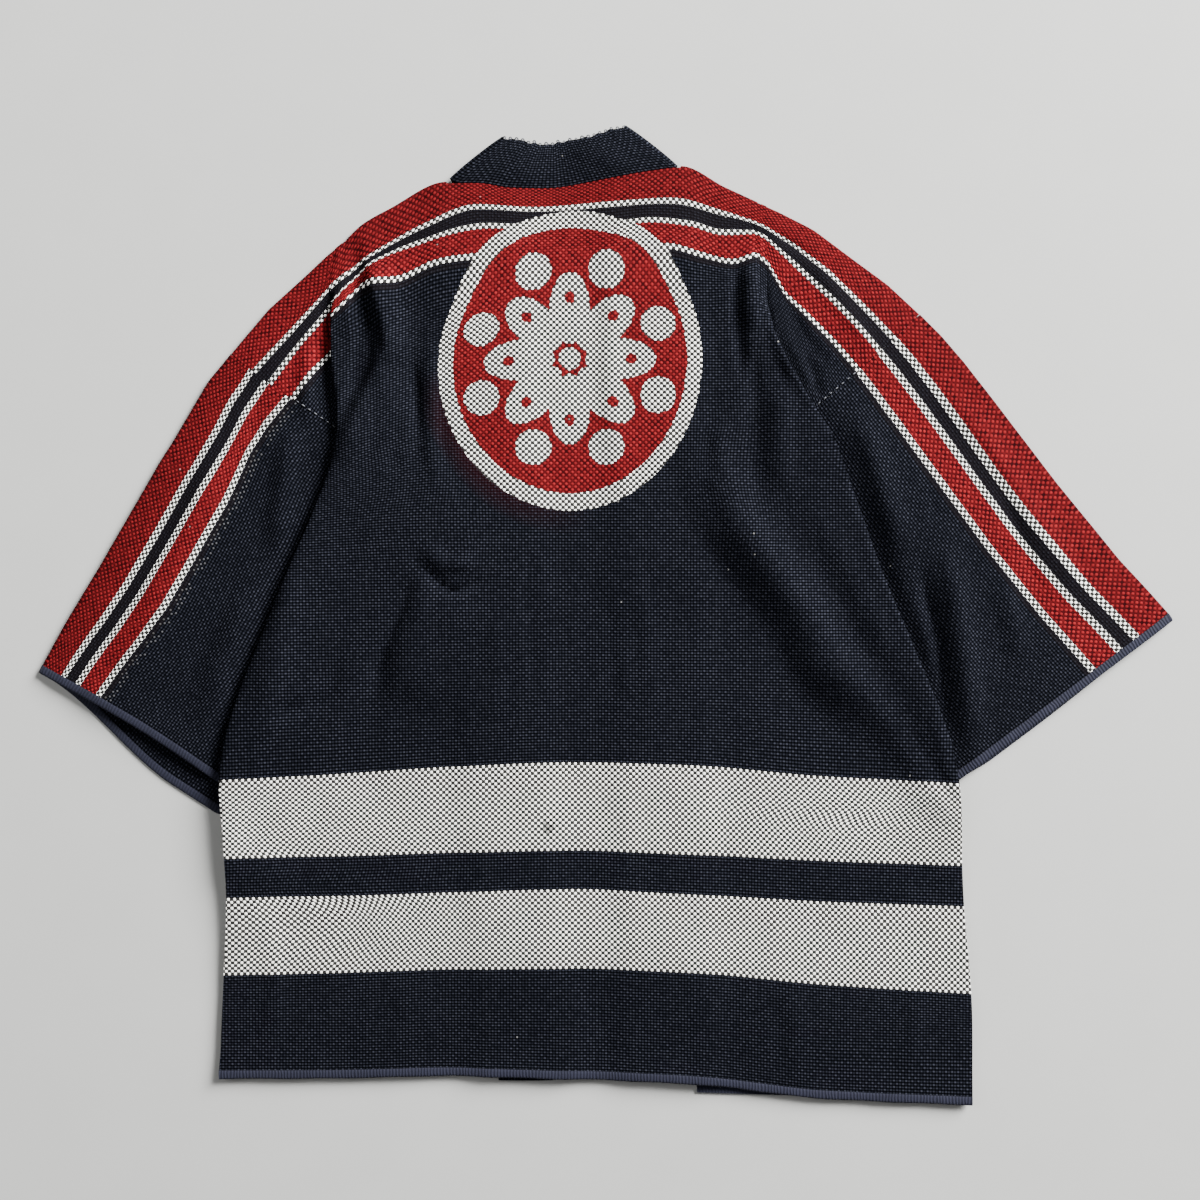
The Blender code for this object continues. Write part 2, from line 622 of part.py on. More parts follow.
def sleeve_ring(side, share, beyond, thickness):
    """One ring round a sleeve or its binding; beyond is how far it lies past the cuff's edge."""
    run = sleeve_run(side)
    near_cuff = smooth((share - 0.9) / 0.1)
    lower = thickness / 2
    spread = thickness + GAP
    upper = lower + spread
    points = []

    def place(across, under):
        x, y = sleeve_place(side, share, across)
        shown = smooth((across - 0.05) / 0.6) * (1 - smooth((across - 0.84) / 0.16))
        shift = CUFF_SHIFT[side] * shown * share ** 2 if under else 0.0
        bow = 0.0 if under else -CUFF_BOW[side] * math.sin(math.pi * across) * share ** 2
        x, y = np.array([x, y]) + run * (beyond + shift + bow)
        clear = smooth(((x - fold_line(side, y)) * side - 4.0) / 40.0)
        open_by = 0.0 if under else CUFF_OPEN[side] * near_cuff * clear * math.sin(math.pi * across)
        ease = 0.0 if under or thickness != CLOTH else SLEEVE_EASE * smooth(share / 0.6)
        height = (lower if under else upper) + lift(side, x, y) + open_by + ease
        return np.array([x, y, height])

    depth = armhole_points(side)
    lengths = np.concatenate([[0.0], np.cumsum(np.linalg.norm(np.diff(depth, axis=0), axis=1))])
    shares = list(lengths / lengths[-1])
    for across in shares:
        points.append(place(across, False))
    points += half_turn(points[-1], place(1.0, True), points[-1] - points[0])
    for across in shares[::-1]:
        points.append(place(across, True))
    points += half_turn(points[-1], points[0], points[0] - points[len(shares) - 1])
    return points


def half_turn(start, end, outward):
    """Points between two layers, round the outside of the fold that joins them."""
    outward = outward * np.array([1.0, 1.0, 0.0])
    outward /= np.linalg.norm(outward)
    middle = (start + end) / 2
    arm = (start - end) / 2
    radius = abs(arm[2])
    points = []
    for step in range(1, FOLD_STEPS):
        angle = math.pi * step / FOLD_STEPS
        points.append(middle + arm * math.cos(angle) + outward * radius * math.sin(angle))
    return points


def build_sleeve(side):
    """A sleeve: one cloth folded round, open at the armhole and at the cuff."""
    grid = np.array([sleeve_ring(side, share, 0.0, CLOTH) for share in np.linspace(0.0, 1.0, SLEEVE_STATIONS)])
    present = np.ones(grid.shape[:2], dtype=bool)
    return cloth_wall(f"sleeve_{SIDE_NAMES[side]}", "sashiko_navy", grid, present, CLOTH, True)


def build_cuff_binding(side):
    """Tape folded over the cuff's edge, all round."""
    grid = np.array([sleeve_ring(side, 1.0, GAP + TAPE_WIDTH * share, TAPE) for share in (0.0, 0.5, 1.0)])
    present = np.ones(grid.shape[:2], dtype=bool)
    return cloth_wall(f"cuff_binding_{SIDE_NAMES[side]}", "binding_slate", grid, present, TAPE, True)


# ---------------------------------------------------------------- fronts
def shifted(route, distance):
    """A polyline moved sideways, to the left of its own direction."""
    route = np.array(route, dtype=float)
    moved = []
    for index, place in enumerate(route):
        run = route[min(index + 1, len(route) - 1)] - route[max(index - 1, 0)]
        run /= np.linalg.norm(run)
        moved.append(place + np.array([-run[1], run[0]]) * distance)
    return moved


def band_seam(side, y):
    """x of the collar band's seam side at a height y, down the front."""
    rows = BAND_FRONT[side]
    return float(np.interp(y, [row["seam"][1] for row in rows], [row["seam"][0] for row in rows]))


def front_outline(side):
    """Outline of one front, from the neck along the shoulder, down the armhole and side seam, and back."""
    outline = shifted(shoulder_line(side), (LIP + GAP) * -side)
    outline = outline[:-1] + armhole_points(side)[1:-1]
    opening_y, side_y = FRONT_HEM_Y[side]
    for row in pleat_rows(side)[UNDERARM_ROW:]:
        if row["inner"] is not None:
            x, y = row["inner"]
            outline.append(np.array([x + side * SEAM_ALLOWANCE, y]))
        elif row["fold"][1] > side_y + 8.0:
            x, y = row["fold"]
            outline.append(np.array([x - side * 2 * GAP, y]))
    outline.append(np.array([fold_line(side, side_y) - side * 2 * GAP, side_y]))
    outline.append(np.array([band_seam(side, opening_y) + side * GAP, opening_y]))
    for row in BAND_FRONT[side]:
        x, y = row["seam"]
        if y > opening_y:
            outline.append(np.array([x + side * GAP, y]))
    return outline


def flat_solid(name, finish, outline, thickness):
    """A flat panel of cloth lying on the surface."""
    mesh = bmesh.new()
    flat = [Vector((float(x) / 1000.0, float(y) / 1000.0)) for x, y in outline]
    filled = delaunay_2d_cdt(flat, [], [list(range(len(flat)))], 1, 1e-7)
    corners = [mesh.verts.new((*place, 0.0)) for place in filled[0]]
    for triangle in filled[2]:
        mesh.faces.new([corners[index] for index in triangle])
    made = bmesh.ops.extrude_face_region(mesh, geom=mesh.faces[:])
    raised = [item for item in made["geom"] if isinstance(item, bmesh.types.BMVert)]
    bmesh.ops.translate(mesh, verts=raised, vec=(0.0, 0.0, thickness / 1000.0))
    return finish_solid(name, finish, mesh)


def build_front(side):
    """One front: a flat panel, hidden under the back."""
    return flat_solid(f"front_{SIDE_NAMES[side]}", "sashiko_navy", front_outline(side), CLOTH)


def build_front_binding(side):
    """Tape folded over the hem of one front."""
    opening_y, side_y = FRONT_HEM_Y[side]
    side_x = fold_line(side, side_y) - side * 2 * GAP
    outline = []
    for drop in (GAP, GAP + TAPE_WIDTH):
        edge_x = band_seam(side, opening_y - drop) + side * GAP
        edge = [(edge_x, opening_y - drop), (side_x, side_y - drop)]
        outline += edge if not outline else edge[::-1]
    return flat_solid(f"hem_binding_front_{SIDE_NAMES[side]}", "binding_slate", outline, TAPE)


def build_back_binding():
    """Tape folded over the hem of the back."""
    rows = [pleat_rows(LEFT)[-1], pleat_rows(RIGHT)[-1]]
    hem = main_strip(len(pleat_rows(LEFT)) - 1, *rows)
    grid = []
    for share in (0.0, 0.5, 1.0):
        drop = np.array([0.0, -(GAP + TAPE_WIDTH * share), 0.0])
        grid.append([point + drop for point in hem])
    grid = np.array(grid)
    return cloth_wall("hem_binding_back", "binding_slate", grid, np.ones(grid.shape[:2], dtype=bool), TAPE)


# ---------------------------------------------------------------- collar
def neck_places():
    """Plan places along the back's neck edge where the lines of the band's upper run start."""
    main = main_strip(0, pleat_rows(LEFT)[0], pleat_rows(RIGHT)[0])
    knots = [point[:2] for point in main[SIDE_STEPS + 1:-SIDE_STEPS - 1]]
    places = []
    for number, knot in enumerate(knots):
        if number in (2, 3):
            places.append((knots[number - 1] + knot) / 2)
        places.append(knot)
    return places


def band_line(seam, free, height):
    """Points of one line across the band, from its seam side to its free side."""
    start, end = np.array([*seam, height]), np.array([*free, height])
    return [start + (end - start) * step / BAND_ACROSS for step in range(BAND_ACROSS + 1)]


def band_turn(side):
    """Lines of the band's half turn beside the neck, from the lower run to the upper run."""
    fold = BAND_FOLD[side]
    seam, free = np.array(fold["seam"], dtype=float), np.array(fold["free"], dtype=float)
    run = (free - seam) / np.linalg.norm(free - seam)
    outward = np.array([run[1], -run[0]]) * side
    outward = outward if outward[1] > 0 else -outward
    radius = (BAND + GAP) / 2
    lines = []
    for step in range(FOLD_STEPS + 1):
        angle = math.pi * step / FOLD_STEPS
        reach = outward * radius * math.sin(angle)
        height = BAND / 2 + radius * (1 - math.cos(angle))
        lines.append(band_line(seam + reach, free + reach, height))
    return lines


def build_collar():
    """The collar: one doubled band, up one front, round the neck and down the other."""
    grid = [band_line(row["seam"], row["free"], BAND / 2) for row in BAND_FRONT[LEFT]]
    grid += band_turn(LEFT)
    for place, row in zip(neck_places(), BAND_NECK):
        seam = (place[0], place[1] + NECK_GAP)
        grid.append(band_line(seam, row["free"], row["height"]))
    grid += band_turn(RIGHT)[::-1]
    grid += [band_line(row["seam"], row["free"], BAND / 2) for row in BAND_FRONT[RIGHT][::-1]]
    grid = np.array(grid)
    return cloth_wall("collar_band", "sashiko_navy", grid, np.ones(grid.shape[:2], dtype=bool), BAND)


# ---------------------------------------------------------------- main
def clear_scene():
    """Empty the scene before building."""
    for old in list(bpy.data.objects):
        bpy.data.objects.remove(old)


def centre_on_surface(pieces):
    """Move every piece so that the whole coat is centred over the origin."""
    places = [vertex.co for piece in pieces for vertex in piece.data.vertices]
    low = [min(place[axis] for place in places) for axis in range(3)]
    high = [max(place[axis] for place in places) for axis in range(3)]
    shift = (-(low[0] + high[0]) / 2, -(low[1] + high[1]) / 2, -low[2])
    for piece in pieces:
        piece.data.transform(Matrix.Translation(shift))


def main():
    """Build every piece of the coat."""
    clear_scene()
    pieces = [build_back(), build_collar(), build_back_binding()]
    for side in (LEFT, RIGHT):
        pieces += [build_front(side), build_sleeve(side), build_cuff_binding(side), build_front_binding(side)]
    centre_on_surface(pieces)


main()
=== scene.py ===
"""Happi coat in sashiko weave, laid flat with its back up: cloth, weave, seams and stage.

+X runs to the right across the back, +Y towards the collar and +Z up from the floor.
Tables are in millimetres, in the frame of the cut pieces; objects are in metres.
"""

import math

import bmesh
import bpy
import numpy as np
from bpy.props import FloatProperty, FloatVectorProperty, PointerProperty
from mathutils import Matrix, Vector


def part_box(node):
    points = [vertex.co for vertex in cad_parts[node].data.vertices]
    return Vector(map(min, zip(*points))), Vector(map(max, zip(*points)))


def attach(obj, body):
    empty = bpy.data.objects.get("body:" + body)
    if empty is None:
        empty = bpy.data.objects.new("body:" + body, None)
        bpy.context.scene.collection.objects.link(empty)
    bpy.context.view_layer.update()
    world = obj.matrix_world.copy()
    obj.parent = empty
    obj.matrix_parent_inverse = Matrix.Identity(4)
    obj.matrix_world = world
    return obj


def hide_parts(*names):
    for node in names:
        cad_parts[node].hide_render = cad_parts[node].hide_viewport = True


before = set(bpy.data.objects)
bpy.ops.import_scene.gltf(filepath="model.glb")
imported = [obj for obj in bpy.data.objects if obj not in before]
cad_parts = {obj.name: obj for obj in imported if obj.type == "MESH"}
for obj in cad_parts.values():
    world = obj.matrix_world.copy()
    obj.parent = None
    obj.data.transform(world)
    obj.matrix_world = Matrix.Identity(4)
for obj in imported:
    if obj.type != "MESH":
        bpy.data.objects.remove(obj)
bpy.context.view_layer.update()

bl_info = {
    "name": "Happi coat",
    "version": (1, 0, 0),
    "blender": (4, 5, 0),
    "location": "View3D > Sidebar > Happi coat",
    "description": "Lays out a happi coat in sashiko weave with its back up",
    "category": "Object",
}

# ---------------------------------------------------------------- how the layers lie (mm)
SIDES = LEFT, RIGHT = -1, 1
SIDE_NAMES = {LEFT: "left", RIGHT: "right"}

# Cloth, the gap between two layers, the middle of the lower and the upper layer
CLOTH = 2.0
GAP = 0.3
LEVEL = CLOTH + GAP
BOTTOM_LAYER = CLOTH / 2
TOP_LAYER = BOTTOM_LAYER + LEVEL
FLOOR_GAP = 0.06

# Binding tape, collar band, how far the back turns under along the shoulders
TAPE, TAPE_WIDTH = 2.4, 7.2
BAND, BAND_WIDTH, BAND_RUN = 4.0, 46.0, 30.0
LIP = 6.0
HEM_RISE, HEM_RUN = 0.6, 26.0

# Shares across a binding with its thickness there; height and turn per millimetre of its waves
TAPE_PROFILE = [
    (0.0, 0.72), (0.12, 0.96), (0.35, 1.0), (0.6, 0.98), (0.8, 0.86), (0.92, 0.62), (1.0, 0.28),
]
CUFF_WAVE, HEM_WAVE = (0.15, 0.16), (0.25, 0.11)

# The collar's free edge and its lie, as waves: height, turn per millimetre, start; and its round edges
EDGE_WAVES = [(0.9, 0.41, 0.0), (0.5, 0.93, 1.0)]
BAND_WAVE, BAND_SKEW = (0.5, 0.085), 2.0
BAND_ROUND, BAND_LEAST = 0.35, 0.45

# Pleats: distance of their layers, thinning in their folds, how far the back rises over them and beside them
PLEAT_PITCH, FOLD_THIN, WIDE_PLEAT = 1.9, 0.5, 36.0
CLOSED_FROM, CLOSED_RUN = 1.5, 3.0
RISE_START, RISE_SPARE, RISE_LEAST = 6.0, 10.0, 8.0
HUMP_MARGIN, HUMP_RUN, LEAST_RUN, HUMP_POWER, SIDE_RUN = 6.0, 30.0, 9.0, 0.72, 24.0
UNDER_RISE, LIFT_RUN, LIFT_START, LIFT_FROM = 0.2, 24.0, 2.0, 2.0
CLEAR_START, CLEAR_RUN = 2.0, 16.0
BLEND = 2.0

# The hidden side seam below the underarm, and the row of the back that ends at the underarm
SEAM_RUN, SEAM_LIFT = 8.0, 0.05
UNDERARM_ROW, UNDERARM_REACH = 8, (13.0, 8.0)

# Where a row's columns lie: beside the pleats and at the collar's runs
INNER_MARGIN, OPEN_SHARE = 10.0, 0.4
NECK_MARGIN, NECK_RUN, NECK_GAP = 1.6, 24.0, 0.45

# Relief: rolled edges, ends of creases, ripples, and the soft stop on what lies below
PILLOW_RUN = 16.0
CREASE_END, CREASE_LEAST = 0.3, 0.15
RIPPLE, LEAST_RELIEF, SOFT_STOP = 0.22, 0.1, 0.25

# Sleeves: gap at the armhole, roll of their folds, and how each cuff opens, bows and shows its lower lip
SLEEVE_GAP, SLEEVE_EASE, EASE_SHARE = 0.3, 0.6, 0.6
TURN_REACH = 1.6
CUFF_SHIFT = {LEFT: 20.0, RIGHT: 3.0}
CUFF_OPEN = {LEFT: 1.6, RIGHT: 0.3}
CUFF_BOW = {LEFT: 6.0, RIGHT: 0.0}
CUFF_RUN, CUFF_CLEAR = 0.1, (4.0, 40.0)
SHOWN_START, SHOWN_RISE, SHOWN_END, SHOWN_FALL = 0.05, 0.6, 0.84, 0.16

# The flat cut: a sleeve's length and depth, the way round a cuff, the hem's depth, the collar's own place
SLEEVE_LONG, SLEEVE_DEPTH = 318.0, 210.0
CUFF_ROUND, UNDER_CUFF = 222.0, 600.0
BELOW_STRIPES = 400.0
HEM_DEPTH = 766.0
BAND_CUT = 1000.0

# Where the tables put the back's left end and the left front's hem
BACK_LEFT, FRONT_HEM = -330.0, -385.5

# How finely each stretch of cloth is cut into cells (the fronts' cells and cut in metres)
FOLD_CELLS = 6
REVERSED_CELLS = 12
STRIP_CELLS = 2 * FOLD_CELLS + REVERSED_CELLS
LIP_CELLS = 2
TURN_CELLS = FOLD_CELLS + 2
WING_CELLS = 22
MAIN_CELLS = 9
MAIN_STEPS, NECK_STEPS = 16, 5
ROW_CELL = 4.6
SLEEVE_CELLS = (66, 44)
BAND_CELL = 6.0
BAND_ACROSS = 10
FLAT_CELL, FRONT_CUT = 0.012, 2.0
SHARP_ANGLE = math.radians(62)

# ---------------------------------------------------------------- tables of the coat (mm)
OPENING_TOP_Y, OPENING_HEM_Y = 370.0, -397.0
OPENING_X = {LEFT: (-135.5, -92.5), RIGHT: (60.5, 76.0)}
STRIPE_ROWS = [
    dict(main=[(-221, 318), (-207, 331), (-186, 343), (-137, 366), (-110, 366), (-81, 362), (-55, 362),
               (-1, 370), (36, 376.4), (62, 379.4), (99.8, 361.6), (126.7, 349.3)],
         left=[(-234, 307), (-253, 289), (-287, 258), (-318.7, 220.4)],
         right=[(137.7, 344.2), (173.7, 326.1), (209.3, 299.5), (237, 279), (264, 254)]),
    dict(main=[(-227, 284), (-209, 299), (-184, 315), (-155, 330), (-110, 346), (-69, 344), (-1, 348),
               (53, 351), (98, 341), (119, 335)],
         left=[(-239, 273), (-266, 242), (-300, 206)],
         right=[(130, 331), (157, 315), (188, 290), (223, 255), (243, 234)]),
    dict(main=[(-231, 267), (-214, 287), (-198, 300), (-164, 315), (-102, 330), (-57, 329), (-6, 330),
               (36, 335), (69, 332), (98, 325), (125, 325)],
         left=[(-238, 256), (-246, 248), (-266, 224), (-287, 196)],
         right=[(134, 321), (157, 300), (190, 269), (219, 238), (231, 224)]),
    dict(main=[(-233, 254), (-225, 262), (-207, 281), (-180, 285), (-147, 299), (-125, 303), (-74, 307),
               (-6, 310), (50, 313), (79, 306), (106, 300), (126, 306)],
         left=[(-221, 238), (-233, 225), (-250, 207), (-268, 183)],
         right=[(136, 299), (151, 272), (163, 261), (194, 230), (214, 207)]),
]
STRIPE_DEPTHS = [0.0, 30.0, 47.0, 72.0]
CUT_TOP = 379.5
ROW_PLACES = [-232.0, -137.0, -35.0, 62.0, 186.0]
LOWER_ROWS = [
    (None, 262, 276, 274, None), (None, 232, 242, 241, None), (None, 205, 212, 212, None),
    (None, 178, 182, 182, None), (None, 154, 157, 157, None), (None, 97, 97, 97, None),
    (None, 38, 38, 38, None), (-23, -22, -21, -22, -22), (-76, -74, -72, -73, -76),
    (-107, -104, -101, -102, -108), (-135, -129, -125, -127, -137), (-170, -166, -162, -164, -172),
    (-205, -202, -200, -203, -209), (-240, -237, -234, -238, -245), (-305, -302, -301, -304, -315),
    (-352, -350, -351, -355, -365), (-376, -374, -376, -380, -393), (-386.5, -384.5, -387, -390.5, -404),
]

# Rows of the pleats: visible fold or side edge, hidden inner fold or side seam, state, height of the fold
PLEAT = {
    LEFT: [
        (None, None, "open", 0.0), (None, None, "open", 1.0), (None, None, "standing", 3.6),
        (None, None, "closed", 5.2), ((-233, 227), (-213, 223), "closed", 5.8),
        ((-231, 199), (-199, 201), "closed", 6.5), ((-228, 176), (-182, 173), "closed", 7.0),
        ((-228, 153), (-159, 134), "closed", 7.4), ((-232, 131), (-134, 93), "closed", 7.5),
        ((-248, 87), (-164, 40), "closed", 7.9), ((-270, 35), (-194, -17), "closed", 8.2),
        ((-294, -24), (-222, -68), "closed", 8.3), ((-314, -77), (-247, -114), "closed", 8.5),
        ((-323, -111), (-262, -142), "closed", 8.7), ((-327, -139), (-274, -162), "closed", 8.9),
        ((-326, -172), (-289, -190), "closed", 8.8), ((-324, -206), None, "open", 8.0),
        ((-323, -241), None, "open", 4.4), ((-326, -307), None, "open", 0.5),
        ((-328, -352), None, "open", 0.0), ((-329, -376), None, "open", 0.0),
        ((-330, -387), None, "open", 0.0),
    ],
    RIGHT: [
        (None, None, "open", 0.0), (None, None, "open", 0.2), (None, None, "open", 0.6),
        (None, None, "open", 1.2), ((127, 276), (137, 270), "open", 3.0),
        ((139, 242), (143, 242), "standing", 4.8), ((153, 212), (124, 202), "closed", 6.5),
        ((170, 182), (107, 152), "closed", 7.2), ((186, 157), (99, 114), "closed", 7.5),
        ((209, 97), (137, 61), "closed", 7.8), ((230, 38), (170, 13), "closed", 8.2),
        ((255, -22), (204, -36), "closed", 8.3), ((278, -77), (236, -81), "closed", 8.3),
        ((291, -111), (255, -109), "closed", 8.4), ((297, -142), None, "open", 8.4),
        ((300, -177), None, "open", 4.4), ((301, -213), None, "open", 1.2),
        ((303, -249), None, "open", 0.0), ((309, -323), None, "open", 0.0),
        ((310, -368), None, "open", 0.0), ((310, -397), None, "open", 0.0),
        ((310, -409.5), None, "open", 0.0),
    ],
}
SLEEVE_FOLD = {
    LEFT: [(-318.7, 220.4), (-337.7, 197.4), (-369.4, 143.2), (-378, 130), (-430.2, 39.4), (-458.2, -6.8),
           (-478.5, -43.8)],
    RIGHT: [(264, 254), (282, 236), (301, 214), (330.2, 176.3), (380.6, 110), (433.2, 45.4), (457, 20),
            (475, 0)],
}
SLEEVE_CORNER = {LEFT: (-291, -164), RIGHT: (293, -136)}
# Share of the way from armhole to cuff, and the white stripes' distances from the shoulder fold there
SLEEVE_STRIPES = {
    LEFT: [(0.0, 20.8, 36.6, 58.8), (0.05, 23.0, 37.6, 58.0), (0.19, 25.6, 40.6, 56.4),
           (0.35, 26.2, 41.4, 62.3), (0.525, 26.7, 41.7, 62.9), (0.68, 26.4, 41.2, 63.2),
           (0.81, 24.6, 38.8, 59.7), (0.93, 20.5, 34.5, 54.6), (1.0, 19.0, 33.0, 52.6)],
    RIGHT: [(0.0, 29.0, 44.8, 68.8), (0.12, 31.6, 47.8, 72.7), (0.29, 34.2, 50.1, 75.5),
            (0.445, 36.8, 52.2, 77.2), (0.60, 37.5, 54.0, 78.8), (0.757, 36.7, 53.7, 79.4),
            (0.90, 34.5, 51.5, 79.2), (1.0, 33.0, 50.5, 79.0)],
}
BAND_FRONT = {
    LEFT: [((-92.7, -396.5), (-46.7, -396.5)), ((-100, -270), (-54, -270)), ((-107.5, -141), (-61.5, -141)),
           ((-116, 10), (-70, 10)), ((-125, 165), (-79, 165)), ((-131, 275), (-85, 277)),
           ((-133.5, 325), (-88, 338)), ((-134.5, 351), (-89.5, 380))],
    RIGHT: [((76, -394), (30, -394)), ((73.5, -270), (27.5, -270)), ((71.5, -141), (25.5, -141)),
            ((69, 10), (23, 10)), ((66, 165), (20, 165)), ((63, 275), (17, 279)),
            ((61, 330), (14.5, 348)), ((60, 359), (14, 389))],
}
BAND_FOLD = {
    LEFT: ((-132.5, 368.6), (-88, 404)),
    RIGHT: ((58, 379.2), (14, 413.5)),
}
BAND_NECK = [(-78, 403.5, 6.3), (-66, 400, 6.3), (-54, 399.5, 4.5), (-42, 402, 2.8), (-29, 404, 4.3),
             (-14, 406.5, 6.3), (2, 412, 6.3)]
BAND_NECK_X = [-112.5, -87.9, -62.7, -37.5, -12.3, 12.9, 37.5]

# Folds: (height or depth, width at its foot, share of the width on the left of its run, points)
RIDGES = [
    # body
    (1.8, 22.0, 0.5, [(-2, 306), (3, 250), (2, 190), (6, 120)]),
    (5.4, 30.0, 0.76, [(-206, 304), (-198, 274), (-189, 246), (-186, 226), (-192, 204)]),
    (2.2, 72.0, 0.3, [(-190, 306), (-186, 264), (-186, 232), (-196, 200)]),
    (5.2, 36.0, 0.62, [(-176, 244), (-190, 218), (-206, 182), (-220, 142), (-230, 116)]),
    (2.2, 20.0, 0.5, [(-151, 244), (-150, 190), (-145, 94)]),
    (1.6, 24.0, 0.5, [(-184, 214), (-188, 160), (-192, 120)]),
    (2.7, 20.0, 0.5, [(-156, 60), (-138, 42), (-106, 44)]),
    (1.4, 26.0, 0.5, [(-230, 70), (-248, 20), (-270, -40)]),
    (5.0, 84.0, 0.75, [(-144, 38), (-156, 0), (-170, -34), (-184, -84)]),
    (3.4, 26.0, 0.3, [(122, 304), (123, 270), (125, 236)]),
    (2.0, 26.0, 0.5, [(138, 250), (156, 214), (180, 172)]),
    (3.4, 32.0, 0.5, [(148, 200), (145, 150), (148, 100)]),
    (7.2, 70.0, 0.53, [(78, 150), (90, 106), (107, 74), (124, 52), (141, 27), (158, 6), (170, -16),
                       (181, -39), (198, -58), (215, -75), (232, -92), (250, -112)]),
    (1.2, 24.0, 0.5, [(92, 170), (96, 132), (112, 96)]),
    (1.4, 34.0, 0.5, [(168, 100), (206, 30), (246, -46)]),
    (0.9, 26.0, 0.5, [(20, 60), (34, -20), (36, -96)]),
    (0.9, 30.0, 0.5, [(-96, 10), (-92, -50), (-98, -104)]),
    (1.1, 26.0, 0.5, [(-290, -250), (-282, -310), (-288, -370)]),
    (0.9, 30.0, 0.5, [(-180, -300), (-172, -340), (-184, -384)]),
    (1.0, 32.0, 0.5, [(-30, -306), (-22, -350), (-26, -386)]),
    (1.1, 28.0, 0.5, [(150, -310), (160, -350), (157, -396)]),
    (0.9, 24.0, 0.5, [(252, -290), (262, -350), (257, -402)]),
    # yoke
    (1.6, 20.0, 0.5, [(156, 318), (182, 288), (210, 248), (232, 214)]),
    (1.2, 14.0, 0.5, [(-196, 322), (-224, 290), (-258, 252), (-290, 210)]),
    (2.6, 20.0, 0.5, [(-254, 236), (-256, 200), (-254, 160)]),
    (1.6, 16.0, 0.5, [(160, 262), (178, 236), (196, 214)]),
    # sleeves
    (3.4, 46.0, 0.6, [(-322, 164), (-346, 90), (-384, 14), (-410, -40)]),
    (4.2, 28.0, 0.4, [(-264, 166), (-271, 128), (-276, 86), (-280, 44)]),
    (3.0, 34.0, 0.5, [(-300, 30), (-318, -20), (-344, -82)]),
    (2.8, 32.0, 0.5, [(-256, 56), (-270, 0), (-284, -60), (-298, -120)]),
    (3.2, 32.0, 0.6, [(208, 178), (224, 134), (238, 88), (254, 40)]),
    (4.0, 32.0, 0.6, [(284, 66), (292, 20), (300, -30), (306, -76), (312, -118)]),
    (2.4, 32.0, 0.5, [(262, 216), (318, 150), (368, 70), (414, 4)]),
    (2.0, 30.0, 0.5, [(330, 40), (344, -10), (350, -50)]),
]
TROUGHS = [
    (7.2, 24.0, 0.5, [(-218, 312), (-211, 278), (-206, 246), (-206, 214), (-218, 176)]),
    (3.1, 10.0, 0.6, [(-172, 64), (-160, 44), (-147, 29), (-133, 19), (-116, 22), (-94, 32)]),
    (3.4, 24.0, 0.5, [(-160, 44), (-176, 12), (-192, -26), (-201, -70)]),
    (3.6, 14.0, 0.5, [(-166, 222), (-162, 176), (-159, 112)]),
    (1.4, 24.0, 0.5, [(-184, 142), (-178, 118)]),
    (2.4, 26.0, 0.5, [(-226, -30), (-238, -68), (-262, -82), (-290, -80)]),
    (1.2, 24.0, 0.5, [(-222, 30), (-258, -4), (-268, -40)]),
    (2.9, 18.0, 0.5, [(112, 308), (110, 262), (115, 192)]),
    (4.6, 16.0, 0.5, [(124, 220), (125, 160), (127, 98)]),
    (1.2, 16.0, 0.5, [(146, 212), (148, 196)]),
    (1.1, 20.0, 0.5, [(-66, 70), (-66, 0), (-60, -80)]),
    (0.9, 20.0, 0.5, [(2, 20), (4, -40), (8, -90)]),
    (2.4, 11.0, 0.5, [(-240, 226), (-239, 190), (-236, 146)]),
    (1.6, 10.0, 0.5, [(142, 324), (168, 306), (180, 290)]),
    (3.4, 12.0, 0.5, [(172, 216), (176, 200), (181, 182)]),
    (4.4, 15.0, 0.5, [(264, 50), (272, 12), (280, -22), (285, -62), (291, -124)]),
    (1.6, 12.0, 0.5, [(276, 96), (277, 80)]),
    (2.2, 16.0, 0.5, [(-272, 40), (-300, -40), (-322, -100)]),
    (1.4, 14.0, 0.5, [(-294, 196), (-300, 168), (-296, 140)]),
    (1.2, 20.0, 0.5, [(330, 118), (352, 60), (372, 0)]),
]
# Broad soft swellings of the cloth: x, y, half-sizes across and down, turn in degrees, height
SWELLINGS = [
    (-50, 200, 90, 110, 0, 1.5), (60, 190, 50, 120, -8, 1.6), (-180, 120, 40, 90, 12, 1.4),
    (-110, -20, 70, 90, 10, 1.4), (-40, 60, 60, 80, 0, 1.2), (-270, -60, 50, 80, 20, 1.0),
    (180, -150, 90, 60, 0, 1.0), (-200, -230, 90, 60, 0, 1.0), (-40, -270, 120, 50, 0, 1.1),
    (160, -320, 110, 50, 0, 1.2), (-230, -340, 80, 46, 0, 1.0), (-350, 60, 46, 120, -28, 3.0),
    (-300, 10, 40, 90, -20, 2.0), (-330, -90, 50, 50, 0, 1.6), (320, 60, 60, 120, 34, 3.2),
    (262, 60, 36, 100, 20, 2.4), (350, -30, 60, 50, 0, 2.0), (210, 256, 50, 30, -35, 1.6),
    (-270, 220, 40, 40, 0, 1.8), (400, 40, 60, 40, -50, 1.6), (-400, -20, 60, 40, 60, 1.6),
    (296, -60, 30, 50, 0, 1.6), (-226, 262, 22, 40, 12, 1.8), (120, 40, 40, 60, -40, 0.8),
]

